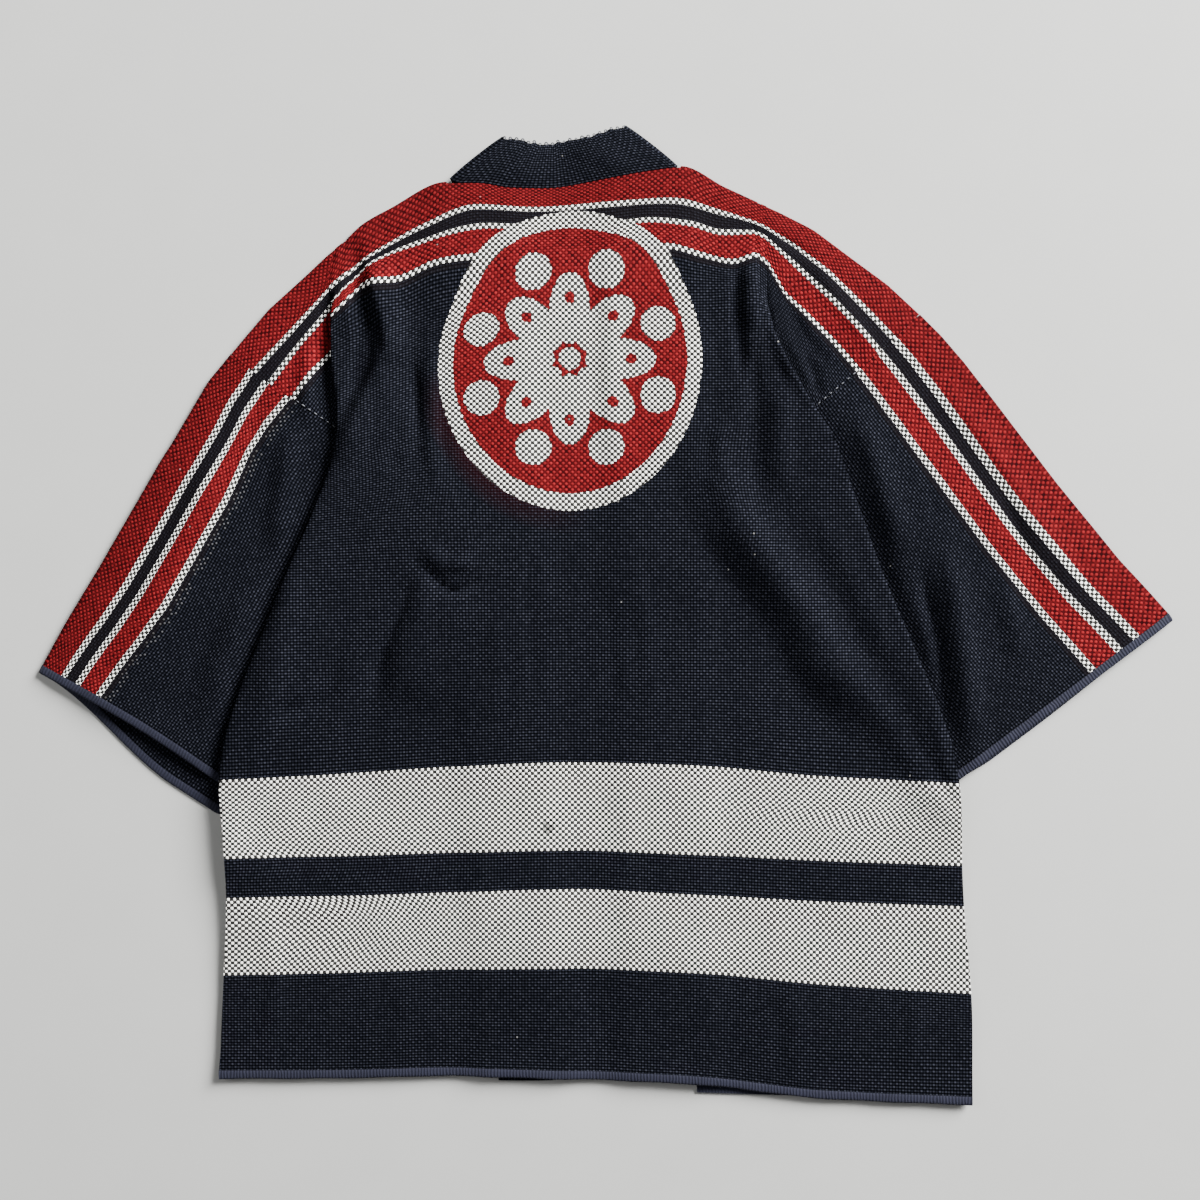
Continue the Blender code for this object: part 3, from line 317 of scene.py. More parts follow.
# Armhole stitches: shares of the seam they run over, places, how far inside the seam and over the cloth.
# Collar loops: least height and y of the edge they stand on, and how far off it
STITCH_RUN, STITCH_PLACES = {LEFT: (0.03, 0.62), RIGHT: (0.03, 0.66)}, 24
STITCH_INSIDE, STITCH_ABOVE = 1.6, 0.15
LOOP_HEIGHT, LOOP_Y, LOOP_OFF = 2.6, 396.0, (0.0, 0.3, 0.6)

# ---------------------------------------------------------------- stripes, emblem and stage (metres)
# Edges down the cut of the white, red and black stripes and of the back's white bands
WHITE_LINES = [(0.0268, 0.0332), (0.0443, 0.0505), (0.0696, 0.0754)]
WHITE_BANDS = [(0.5045, 0.5790), (0.6135, 0.6800)]
BACK_SPARE = 0.0005
RED_EDGE, RED_STRIPE = 0.0270, (0.0500, 0.0690)
BLACK_LINES = [(0.0325, 0.0440), (0.0755, 0.0790)]
WORN_LINE, WORN_LIGHT = (0.0785, 0.0850), 0.030
STAIN, STAIN_DARK = (-0.050, 0.5590, 0.0048, 0.0060), 0.62

# The weave, in shares of one grain: the hole between grains, the gaps beside and below, the crossings, and
# a grain's shape and its painted highlight, brightest in its middle; how rare and pale lint is; scales of the
# clouds, the wear and the fibres
HOLE, SIDE_GAP, END_GAP, CROSSING = 0.72, 0.41, 0.44, 0.26
GRAIN_OVAL, GRAIN_LIGHT, GRAIN_EDGE = (0.62, 1.35), 1.30, 3.3
LINT, LINT_COLOUR = 0.9996, (0.35, 0.34, 0.32)
CLOUDS, WEAR, FIBRES = 9.0, 38.0, 900.0

# The emblem: its middle on the back (mm), its ring and, in ovals of place and half size, its flower
EMBLEM_PLACE = (-32.0, 217.0)
RING_INSIDE = 0.885
PETALS = 8
PETAL = (0.043, 0.0, 0.0300, 0.0172)
NOTCH = (0.052, 0.0, 0.0050, 0.0042)
SPOT = (0.081, 0.0, 0.0150, 0.0155)
HEART = 0.0095
BLEED, BLEED_REACH = 0.42, 1.16

# Lights: name, place, size and power. Camera: place over the coat. Sky: colour and strength
LIGHTS = [("coat_key", (3.2, 2.9, 2.3), 2.5, 2250.0), ("coat_fill", (-2.4, 0.6, 2.2), 2.0, 70.0)]
CAMERA_PLACE, CAMERA_LENS, CAMERA_FILM = (-0.0064, 0.0123, 1.4217), 50.0, 36.0
SKY, SKY_STRENGTH = (0.93, 0.96, 1.0, 1.0), 0.14
FLOOR_HALF = 6.0


# ---------------------------------------------------------------- sizes and colours a user may change
def length_property(name, description, default, low, high):
    """A length that a user may change."""
    return FloatProperty(name=name, description=description, default=default, min=low, max=high,
                         unit="LENGTH")


def colour_property(name, description, default):
    """A colour that a user may change."""
    return FloatVectorProperty(name=name, description=description, default=default, size=3, min=0.0,
                               max=1.0, subtype="COLOR")


class CoatSizes(bpy.types.PropertyGroup):
    """Sizes of the cloth and its sewing."""

    shell: length_property("Cloth", "Thickness of the sashiko cloth", 0.0017, 0.001, 0.003)
    relief: FloatProperty(name="Relief", description="How strongly the cloth is rumpled", default=1.3,
                          min=0.0, max=2.0, subtype="FACTOR")
    pillow: length_property("Edge roll", "Swelling of the cloth inside its folded edges", 0.0014, 0.0, 0.004)
    grain_wide: length_property("Grain width", "Width of one grain of the weave", 0.0026, 0.001, 0.006)
    grain_high: length_property("Grain height", "Height of one grain of the weave", 0.0025, 0.001, 0.006)
    grain_depth: length_property("Grain depth", "How deep the weave is", 0.0007, 0.0, 0.002)
    rib: length_property("Tape rib", "Distance between the ribs of the binding tape", 0.0027, 0.0005, 0.005)
    stitch_pitch: length_property("Stitch pitch", "Distance between the seam stitches", 0.0062, 0.002, 0.02)
    stitch_long: length_property("Stitch length", "Length of one stitch", 0.0030, 0.001, 0.01)
    stitch_thick: length_property("Stitch thickness", "Thickness of the thread", 0.0005, 0.0002, 0.002)
    loop_pitch: length_property("Loop pitch", "Distance between the collar's loops", 0.0052, 0.002, 0.02)
    loop_size: length_property("Loop size", "Radius of one of the collar's loops", 0.0011, 0.0005, 0.004)
    ring_wide: length_property("Ring width", "Half the ring's outer width", 0.112, 0.02, 0.15)
    ring_high: length_property("Ring height", "Half the ring's outer height", 0.129, 0.02, 0.15)


class CoatColours(bpy.types.PropertyGroup):
    """Colours of the yarns, the tape and the floor."""

    navy: colour_property("Navy", "Yarn of the ground", (0.0011, 0.0014, 0.0026))
    # Lighter tops of the navy grains: partly faded yarn, partly painted highlight
    navy_grain: colour_property("Navy grain", "Faded tops of the navy grains", (0.0190, 0.0202, 0.0278))
    white: colour_property("White", "Yarn of the white bands", (0.93, 0.915, 0.865))
    red: colour_property("Red", "Yarn of the red stripes", (0.156, 0.0090, 0.0106))
    red_gap: colour_property("Red gap", "Ground between the red grains", (0.013, 0.0009, 0.0015))
    black: colour_property("Black", "Yarn of the black stripe", (0.0026, 0.0020, 0.0026))
    slate: colour_property("Slate", "Binding tape", (0.0046, 0.0050, 0.0095))
    # Paler tape colour: real wear, and painted highlight on the ribs
    slate_worn_and_highlit: colour_property("Worn slate", "Ribs of the binding tape", (0.0135, 0.0142, 0.0250))
    thread: colour_property("Thread", "Seam thread", (0.070, 0.073, 0.083))
    floor: colour_property("Floor", "The floor", (0.29, 0.29, 0.28))


# ---------------------------------------------------------------- curves
def ease(value):
    """Ease from 0 to 1."""
    value = np.clip(value, 0.0, 1.0)
    return value * value * (3 - 2 * value)


def curve(knots, values, places, free=False):
    """Values on a smooth curve through knots; unless free, it never overshoots them."""
    knots = np.asarray(knots, dtype=float)
    values = np.asarray(values, dtype=float)
    places = np.clip(np.asarray(places, dtype=float), knots[0], knots[-1])
    shape = (-1,) + (1,) * (values.ndim - 1)
    gaps = np.diff(knots).reshape(shape)
    steps = np.diff(values, axis=0) / gaps
    slopes = np.empty_like(values)
    slopes[0], slopes[-1] = steps[0], steps[-1]
    before, after = steps[:-1], steps[1:]
    if free:
        slopes[1:-1] = (before * gaps[1:] + after * gaps[:-1]) / (gaps[1:] + gaps[:-1])
    else:
        total = before + after
        total = np.where(np.abs(total) < 1e-12, 1.0, total)
        slopes[1:-1] = np.where(before * after > 0, 2 * before * after / total, 0.0)
    index = np.clip(np.searchsorted(knots, places, side="right") - 1, 0, len(knots) - 2)
    gap = (knots[index + 1] - knots[index]).reshape(places.shape + (1,) * (values.ndim - 1))
    share = (places - knots[index]).reshape(gap.shape) / gap
    start, end = values[index], values[index + 1]
    rise = 3 * share**2 - 2 * share**3
    early = share**3 - 2 * share**2 + share
    late = share**3 - share**2
    return start * (1 - rise) + end * rise + gap * (early * slopes[index] + late * slopes[index + 1])


def distances(points):
    """How far along a polyline each of its points lies."""
    return np.concatenate([[0.0], np.cumsum(np.linalg.norm(np.diff(points, axis=0), axis=1))])


def along(points, shares):
    """Places at shares of a polyline's length."""
    points = np.asarray(points, dtype=float)
    lengths = distances(points)
    wanted = np.asarray(shares, dtype=float) * lengths[-1]
    return np.stack([np.interp(wanted, lengths, points[:, axis]) for axis in range(points.shape[1])], axis=-1)


def cut_places(wide, down):
    """Flat-cut places from widths and depths that fit each other's shapes."""
    return np.stack(np.broadcast_arrays(wide, down), axis=-1)


def finer(values, cells):
    """A smooth refinement of a short list of numbers, with so many cells in each step."""
    knots = np.arange(len(values), dtype=float)
    return curve(knots, values, np.linspace(0, len(values) - 1, (len(values) - 1) * cells + 1))


# ---------------------------------------------------------------- the pleats' tables and the heights
def pleat_rows(side):
    """The side's pleat rows, with the folds of the upper rows filled in from the stripe rows."""
    rows = []
    for number, (fold, inner, state, rise) in enumerate(PLEAT[side]):
        if fold is None:
            fold = STRIPE_ROWS[number]["main"][0 if side == LEFT else -1]
            inner = STRIPE_ROWS[number][SIDE_NAMES[side]][0]
        rows.append(dict(fold=fold, inner=inner, state=state, rise=rise))
    return rows


def side_tables(side):
    """Knots of the fold line, the inner line and the fold's height, down one side."""
    rows = pleat_rows(side)
    fold = np.array([row["fold"] for row in rows], dtype=float)
    rise = np.array([row["rise"] for row in rows], dtype=float)
    inner = []
    for row in rows:
        if row["inner"] is None:
            continue
        inside = (row["fold"][0] - row["inner"][0]) * side > 0
        inner.append(row["inner"] if inside else row["fold"])
    count = len(inner)
    inner.append(rows[count + 1]["fold"])
    inner += [row["fold"] for row in rows[count + 2:]]
    return dict(fold=fold, rise=rise, inner=np.array(inner, dtype=float))


TABLES = {side: side_tables(side) for side in SIDES}


def fold_line(side, y):
    """x of the pleat's visible fold, or of the side edge, at heights y."""
    fold = TABLES[side]["fold"]
    return curve(-fold[:, 1], fold[:, 0], -np.asarray(y, dtype=float))


def inner_line(side, y):
    """x of the pleat's hidden inner fold or side seam at heights y."""
    inner = TABLES[side]["inner"]
    return np.interp(-np.asarray(y, dtype=float), -inner[:, 1], inner[:, 0])


def fold_rise(side, y):
    """How high the back stands over the lower layer along a pleat's fold, at heights y."""
    fold = TABLES[side]["fold"]
    return curve(-fold[:, 1], TABLES[side]["rise"], -np.asarray(y, dtype=float))


def pleat_foot(side, y):
    """How high the back lies over the lower layer on the pleat's inner fold, at heights y."""
    top = fold_rise(side, y)
    width = (fold_line(side, y) - inner_line(side, y)) * side
    return top - np.maximum(top - 2 * PLEAT_PITCH - UNDER_RISE, 0.0) * ease(width / WIDE_PLEAT)


def pleat_height(side, x, y, reach=HUMP_RUN):
    """Rise of the back over a pleat: highest on the fold, low on the inner fold, none further in."""
    foot = pleat_foot(side, y)
    width = (fold_line(side, y) - inner_line(side, y)) * side
    outward = (x - inner_line(side, y)) * side
    run = np.maximum(width - RISE_SPARE, RISE_LEAST)
    rise = (fold_rise(side, y) - foot) * ease((outward - RISE_START) / run)
    inward = np.clip((-outward - HUMP_MARGIN) / (reach + SIDE_RUN * (1 - ease(width / WIDE_PLEAT))), 0.0, 1.0)
    fall = 1 - ease(inward ** HUMP_POWER)
    return np.where(outward > 0, foot + rise, foot * fall)


def lift(side, x, y):
    """Rise of the sleeve and yoke layers where they run under the pleat's fold."""
    outside = (x - fold_line(side, y)) * side
    closed = ease((fold_rise(side, y) - LIFT_FROM) / LIFT_FROM)
    return UNDER_RISE * closed * ease((LIFT_RUN - outside) / (LIFT_RUN - LIFT_START))


def opening_line(side, y):
    """x of the seam between front and collar band at heights y."""
    top_x, hem_x = OPENING_X[side]
    return top_x + (hem_x - top_x) * (OPENING_TOP_Y - y) / (OPENING_TOP_Y - OPENING_HEM_Y)


def soft_max(first, second):
    """The larger of two heights, rounded where they meet above the lie."""
    near = np.maximum(BLEND - np.abs(first - second), 0.0) / BLEND
    above = np.clip(np.minimum(first, second) / BLEND, 0.0, 1.0)
    return np.maximum(first, second) + near**2 * above * BLEND / 4


def band_rise(x, y):
    """Rise of the back where it lies over the two runs of the collar band."""
    rise = np.zeros_like(x)
    for side in SIDES:
        middle = opening_line(side, y) - side * BAND_WIDTH / 2
        off = np.abs(x - middle) - BAND_WIDTH / 2
        rise = np.maximum(rise, ease(1.0 - (off - 2 * NECK_MARGIN) / BAND_RUN))
    return (BAND - CLOTH + GAP) * rise


def main_height(x, y, reach=HUMP_RUN):
    """Mid height of the back between the pleats."""
    x, y = np.asarray(x, dtype=float), np.asarray(y, dtype=float)
    height = band_rise(x, y)
    for side in SIDES:
        height = soft_max(height, pleat_height(side, x, y, reach))
    left_hem, right_hem = PLEAT[LEFT][-1][0], PLEAT[RIGHT][-1][0]
    hem_y = np.interp(x, [left_hem[0], right_hem[0]], [left_hem[1], right_hem[1]])
    return TOP_LAYER + height + HEM_RISE * ease(1 - (y - hem_y) / HEM_RUN)


# ---------------------------------------------------------------- relief of the cloth
def crease(x, y, width, split, points):
    """How much of a crease is felt at each place: 1 on its line, 0 from its foot outwards and at its ends."""
    points = np.asarray(points, dtype=float)
    best = np.full(x.shape, 1e9)
    strength = np.zeros(x.shape)
    lengths = distances(points)
    for number, (start, end) in enumerate(zip(points[:-1], points[1:])):
        run = end - start
        long = np.linalg.norm(run)
        share = np.clip(((x - start[0]) * run[0] + (y - start[1]) * run[1]) / long**2, 0.0, 1.0)
        off_x, off_y = x - (start[0] + run[0] * share), y - (start[1] + run[1] * share)
        off = np.hypot(off_x, off_y)
        beside = run[0] * off_y - run[1] * off_x
        reach = np.where(beside > 0, width * split, width * (1 - split))
        place = (lengths[number] + share * long) / lengths[-1]
        ends = ease(place / CREASE_END) * ease((1 - place) / CREASE_END)
        here = (1 - ease(off / reach)) * (CREASE_LEAST + (1 - CREASE_LEAST) * ends)
        strength = np.where(off < best, here, strength)
        best = np.minimum(best, off)
    return strength


def relief(x, y):
    """Height of the rumpled cloth over its flat lie, in millimetres."""
    x, y = np.asarray(x, dtype=float), np.asarray(y, dtype=float)
    height = np.full(x.shape, LEAST_RELIEF)
    for place_x, place_y, across, down, turn, rise in SWELLINGS:
        angle = math.radians(turn)
        off_x = (x - place_x) * math.cos(angle) + (y - place_y) * math.sin(angle)
        off_y = (y - place_y) * math.cos(angle) - (x - place_x) * math.sin(angle)
        height += rise * np.exp(-((off_x / across) ** 2) - (off_y / down) ** 2)
    for rise, width, split, points in RIDGES:
        height += rise * crease(x, y, width, split, points)
    for depth, width, split, points in TROUGHS:
        height -= depth * crease(x, y, width, split, points)
    fine = np.sin(x * 0.083 + 1.3 * np.sin(y * 0.031)) * np.sin(y * 0.071 + 1.1 * np.sin(x * 0.027))
    height += RIPPLE * (1 + fine)
    return height * bpy.context.scene.coat_sizes.relief


def settled(bumps, least=0.0):
    """Relief that stops softly where the cloth meets what it lies on."""
    above = bumps - least
    return least + (above + np.sqrt(above**2 + SOFT_STOP)) / 2


def cloth_thickness():
    """Thickness of the weave, in millimetres."""
    return bpy.context.scene.coat_sizes.shell * 1000.0


def pillow(edge):
    """Swelling of the cloth inside a folded edge, for distances from that edge."""
    return bpy.context.scene.coat_sizes.pillow * 1000.0 * ease(edge / PILLOW_RUN)


def closed_share(side, y):
    """1 where a pleat lies closed at heights y, fading to 0 where it opens."""
    return ease((fold_rise(side, y) - CLOSED_FROM) / CLOSED_RUN)


def outside_pleat(side, x, y):
    """1 on the yoke and sleeve outside the pleat's fold, fading to 0 where they run under it."""
    closed = closed_share(side, y)
    clear = ease(((x - fold_line(side, y)) * side - CLEAR_START) / CLEAR_RUN)
    return 1 - closed * (1 - clear)


# ---------------------------------------------------------------- turning sheets into shells
def sheet_normals(grid, cells, wrap):
    """Unit normals at the points of a sheet, averaged from the cells around them."""
    beside = np.roll(grid, -1, axis=1) if wrap else np.concatenate([grid[:, 1:], grid[:, -1:]], axis=1)
    first = beside[1:] - grid[:-1]
    second = beside[:-1] - grid[1:]
    normal = np.cross(first, second)
    size = np.linalg.norm(normal, axis=2, keepdims=True)
    normal = np.where(size > 0, normal / np.maximum(size, 1e-12), 0.0) * cells[..., None]
    shifted = np.roll(normal, 1, axis=1)
    if not wrap:
        shifted[:, 0] = 0.0
    total = np.zeros_like(grid)
    for share in (normal, shifted):
        total[:-1] += share
        total[1:] += share
    return total / np.maximum(np.linalg.norm(total, axis=2, keepdims=True), 1e-9)


def placed(name, data):
    """A new object at the origin of the scene."""
    made = bpy.data.objects.new(name, data)
    bpy.context.scene.collection.objects.link(made)
    return made


def to_object(name, materials, places, faces, flat, finish):
    """An object from places in millimetres of the cut frame, with flat-cut coordinates and finishes."""
    mesh = bpy.data.meshes.new(name)
    mesh.from_pydata(((places + SHIFT) / 1000.0).tolist(), [], faces)
    for material in materials:
        mesh.materials.append(material)
    mesh.polygons.foreach_set("material_index", finish)
    corners = np.empty(len(mesh.loops), dtype=np.int32)
    mesh.loops.foreach_get("vertex_index", corners)
    layer = mesh.uv_layers.new(name="cut")
    layer.data.foreach_set("uv", (flat[corners] / 1000.0).astype(np.float32).ravel())
    mesh.shade_smooth()
    mesh.set_sharp_from_angle(angle=SHARP_ANGLE)
    return placed(name, mesh)


def edge_walls(cells, ring, count):
    """Faces that close a shell along the open edges of its cells."""
    above, below = np.zeros_like(cells), np.zeros_like(cells)
    above[1:], below[:-1] = cells[:-1], cells[1:]
    beyond = (above, np.roll(cells, -1, axis=1), below, np.roll(cells, 1, axis=1))
    walls = []
    for corner, other in enumerate(beyond):
        edge = (cells & ~other)[cells]
        first, second = ring[edge, corner], ring[edge, (corner + 1) % 4]
        walls.append(np.stack([first, second, second + count, first + count], axis=-1))
    return np.concatenate(walls)


def shell(name, materials, grid, flat, thickness, cells=None, wrap=False):
    """A closed shell of cloth round a sheet of points, with its cut coordinates at each point."""
    rows, columns = grid.shape[:2]
    if cells is None:
        cells = np.ones((rows - 1, columns if wrap else columns - 1), dtype=bool)
    if not wrap:
        full = np.zeros((rows - 1, columns), dtype=bool)
        full[:, :-1] = cells[:, :columns - 1]
        cells = full
    normals = sheet_normals(grid, cells, wrap)
    half = np.broadcast_to(np.asarray(thickness, dtype=float) / 2, (rows, columns))[..., None]
    top, bottom = grid + normals * half, grid - normals * half
    for layer in (top, bottom):
        layer[..., 2] = np.maximum(layer[..., 2], FLOOR_GAP)
    used = np.zeros((rows, columns), dtype=bool)
    for touched in (cells, np.roll(cells, 1, axis=1)):
        used[:-1] |= touched
        used[1:] |= touched
    number = np.full((rows, columns), -1)
    number[used] = np.arange(used.sum())
    count = int(used.sum())
    places = np.concatenate([top[used], bottom[used]])
    beside = np.roll(number, -1, axis=1)
    ring = np.stack([number[:-1], beside[:-1], beside[1:], number[1:]], axis=-1)[cells]
    faces = np.concatenate([ring[:, ::-1], ring + count])
    walls = edge_walls(cells, ring, count)
    finish = np.zeros(len(faces) + len(walls), dtype=np.int32)
    finish[len(ring):2 * len(ring)] = len(materials) - 1
    faces = np.concatenate([faces, walls]).tolist()
    flat = np.concatenate([flat[used], flat[used]])
    return to_object(name, materials, places, faces, flat, finish)


# ---------------------------------------------------------------- the back
def pleat_strip(side, row):
    """Points of one row through the pleat: plan places, and how far they lie below the fold's height."""
    fold = np.array(row["fold"], dtype=float)
    inner = np.array(row["inner"], dtype=float)
    outward = np.array([float(side), 0.0])
    radius = PLEAT_PITCH / 2
    rise = row["rise"]
    half = np.linspace(0.0, math.pi, FOLD_CELLS + 1)
    steps = np.arange(REVERSED_CELLS) / REVERSED_CELLS
    if row["state"] == "closed":
        turn = half[:-1]
        first = fold + outward * radius * np.sin(turn)[:, None]
        flat = fold + (inner - fold) * steps[:, None]
        turned = max(float(pleat_foot(side, inner[1])) - UNDER_RISE - PLEAT_PITCH, PLEAT_PITCH) / 2
        last = inner - outward * radius * np.sin(half)[:, None]
        drop = np.concatenate([radius * (1 - np.cos(turn)), np.full(REVERSED_CELLS, PLEAT_PITCH),
                               PLEAT_PITCH + turned * (1 - np.cos(half))])
        return np.concatenate([first, flat, last]), drop
    if row["state"] == "standing":
        quarter = half / 2
        turn = quarter[:-1]
        first = fold + outward * radius * np.sin(turn)[:, None]
        wall = np.tile(fold + outward * radius, (REVERSED_CELLS, 1))
        last = fold + outward * radius * (2 - np.cos(quarter))[:, None]
        drop = np.concatenate([radius * (1 - np.cos(turn)), radius + (rise - 2 * radius) * steps,
                               rise - radius * (1 - np.sin(quarter))])
        return np.concatenate([first, wall, last]), drop
    shares = np.linspace(0.0, 1.0, STRIP_CELLS + 1)
    return fold + (inner - fold) * shares[:, None], rise * ease(shares)


def seam_strip(side, row):
    """The strip below the underarm, where the reversed layer ends at the hidden side seam."""
    places, drop = pleat_strip(side, row)
    inner = np.array(row["inner"], dtype=float)
    seam = FOLD_CELLS + REVERSED_CELLS
    places[seam:] = inner
    near = np.linalg.norm(places[FOLD_CELLS:seam + 1] - inner, axis=1)
    foot = float(pleat_foot(side, inner[1]))
    drop[FOLD_CELLS:seam + 1] = PLEAT_PITCH + (foot - PLEAT_PITCH - SEAM_LIFT) * ease(1 - near / SEAM_RUN)
    drop[seam:] = foot - SEAM_LIFT
    return places, drop


def armhole_points(side):
    """Plan points of the armhole seam, one for each row of the back that reaches it."""
    key = SIDE_NAMES[side]
    points = [np.array(row[key][-1], dtype=float) for row in STRIPE_ROWS]
    inner = np.array(PLEAT[side][UNDERARM_ROW][1], dtype=float)
    under = inner + np.array([side * UNDERARM_REACH[0], UNDERARM_REACH[1]])
    corner = points[-1]
    count = UNDERARM_ROW - len(STRIPE_ROWS) + 1
    return points + [corner + (under - corner) * (step + 1) / count for step in range(count)]


def row_route(number):
    """Plan polyline of one row between the pleats."""
    if number < len(STRIPE_ROWS):
        return np.array(STRIPE_ROWS[number]["main"], dtype=float)
    heights = LOWER_ROWS[number - len(STRIPE_ROWS)]
    ends = [pleat_rows(side)[number]["fold"] for side in SIDES]
    middle = [(x, y) for x, y in zip(ROW_PLACES, heights) if y is not None]
    return np.array([ends[0]] + middle + [ends[1]], dtype=float)


def main_places(number):
    """Plan places of one row between the pleats, evenly refined."""
    route = row_route(number)
    middle_y = np.interp(ROW_PLACES[2], route[:, 0], route[:, 1])
    sides = {}
    for side in SIDES:
        fold_x, fold_y = pleat_rows(side)[number]["fold"]
        neck = opening_line(side, middle_y) + side * NECK_MARGIN
        inner_x = float(inner_line(side, fold_y))
        if abs(inner_x - fold_x) < 1.0:
            flat_end = fold_x + (neck - fold_x) * OPEN_SHARE
        else:
            flat_end = inner_x - side * INNER_MARGIN
            if (flat_end - neck) * side < NECK_RUN / 2:
                neck = flat_end - side * NECK_RUN
        sides[side] = list(np.linspace(fold_x, flat_end, 3)) + list(np.linspace(flat_end, neck, 4))[1:]
    inside = [opening_line(side, middle_y) - side * (BAND_WIDTH + NECK_MARGIN) for side in SIDES]
    across = []
    for start, end in ((sides[LEFT][-1], inside[0]), inside, (inside[1], sides[RIGHT][-1])):
        across += list(np.linspace(start, end, 3))[1:]
    x = finer(sides[LEFT] + across[:-1] + sides[RIGHT][::-1], MAIN_CELLS)
    return np.stack([x, curve(route[:, 0], route[:, 1], x)], axis=-1)


def row_depths():
    """Distance of each row from the shoulder fold down the cut cloth, at the middle of the back."""
    return np.array(STRIPE_DEPTHS + [CUT_TOP - heights[2] for heights in LOWER_ROWS])


def yoke_cut(side, places):
    """Cut places across the yoke outside a pleat, measured along the shoulder fold."""
    shoulder = STRIPE_ROWS[0]
    start = np.array(shoulder["main"][0 if side == LEFT else -1], dtype=float)
    end = np.array(shoulder[SIDE_NAMES[side]][-1], dtype=float)
    run = (end - start) / np.linalg.norm(end - start)
    return start[0] + side * ((places - start) @ run)


def side_row(side, number, hole):
    """One row outside a side's fold: plan places, drops, cut places, and which of its cells are there."""
    row = pleat_rows(side)[number]
    shown = np.zeros(STRIP_CELLS + WING_CELLS, dtype=bool)
    if row["inner"] is None:
        places = np.tile(np.array(row["fold"], dtype=float), (STRIP_CELLS + 1, 1))
        drop = np.zeros(STRIP_CELLS + 1)
    elif number > UNDERARM_ROW:
        places, drop = seam_strip(side, row)
        shown[:FOLD_CELLS + REVERSED_CELLS] = True
    else:
        places, drop = pleat_strip(side, row)
        shown[:] = True
    if number < len(STRIPE_ROWS):
        route = [places[-1], *STRIPE_ROWS[number][SIDE_NAMES[side]][1:]]
    elif number <= UNDERARM_ROW:
        route = [places[-1], hole[number]]
    else:
        route = [places[-1], places[-1] + np.array([side * 1.0, 0.0])]
    wing = along(route, np.linspace(0.0, 1.0, WING_CELLS + 1))[1:]
    places = np.concatenate([places, wing])
    run = np.linalg.norm(np.diff(places, axis=0), axis=1)
    run[:STRIP_CELLS] = np.maximum(run[:STRIP_CELLS], np.abs(np.diff(drop)))
    away = np.concatenate([[0.0], np.cumsum(run)])
    drop = np.concatenate([drop, np.full(WING_CELLS, drop[-1])])
    wide = row["fold"][0] + side * away
    wide[STRIP_CELLS:] = yoke_cut(side, places[STRIP_CELLS:])
    return places[1:], drop[1:], wide[1:], shown


def coarse_back():
    """The rows of the back: plan places, drops below the fold, cut places, and which cells are there."""
    plan, drops, cut, present = [], [], [], []
    holes = {side: armhole_points(side) for side in SIDES}
    for number in range(len(PLEAT[LEFT])):
        main = main_places(number)
        left, right = (side_row(side, number, holes[side]) for side in SIDES)
        plan.append(np.concatenate([left[0][::-1], main, right[0]]))
        drops.append(np.concatenate([left[1][::-1], np.zeros(len(main)), right[1]]))
        cut.append(np.concatenate([left[2][::-1], main[:, 0], right[2]]))
        present.append(np.concatenate([left[3][::-1], np.ones(len(main), dtype=bool), right[3]]))
    return np.array(plan), np.array(drops), np.array(cut), np.array(present)


def back_columns():
    """Kinds of the back's columns from left to right, and where its main stretch starts and ends."""
    outer = STRIP_CELLS + WING_CELLS
    main = MAIN_STEPS * MAIN_CELLS + 1
    kinds = ["left wing"] * WING_CELLS + ["left pleat"] * STRIP_CELLS + ["main"] * main
    kinds += ["right pleat"] * STRIP_CELLS + ["right wing"] * WING_CELLS
    return np.array(kinds), outer, outer + main - 1


def lay_side(side, kinds, x, y, drop, bumps, height):
    """Set the heights of one side's pleat and of the yoke outside it."""
    pleat, wing = (kinds == f"{SIDE_NAMES[side]} {part}" for part in ("pleat", "wing"))
    under = np.maximum(outside_pleat(side, x, y), 0.0)
    place = np.arange(1, STRIP_CELLS + 1)[::side]
    felt, turned = np.zeros((2, *height.shape))
    felt[:, pleat] = 1 - ease((place - FOLD_CELLS) / (REVERSED_CELLS - 2.0))
    turned[:, pleat] = ease((place - FOLD_CELLS - REVERSED_CELLS) / FOLD_CELLS)
    felt = np.maximum(np.maximum(felt, under * turned), 1 - closed_share(side, y))
    folded = TOP_LAYER + pleat_height(side, x, y) - drop + bumps * felt
    height[:, pleat] = folded[:, pleat]
    yoke = TOP_LAYER + lift(side, x, y) + bumps * under
    height[:, wing] = yoke[:, wing]


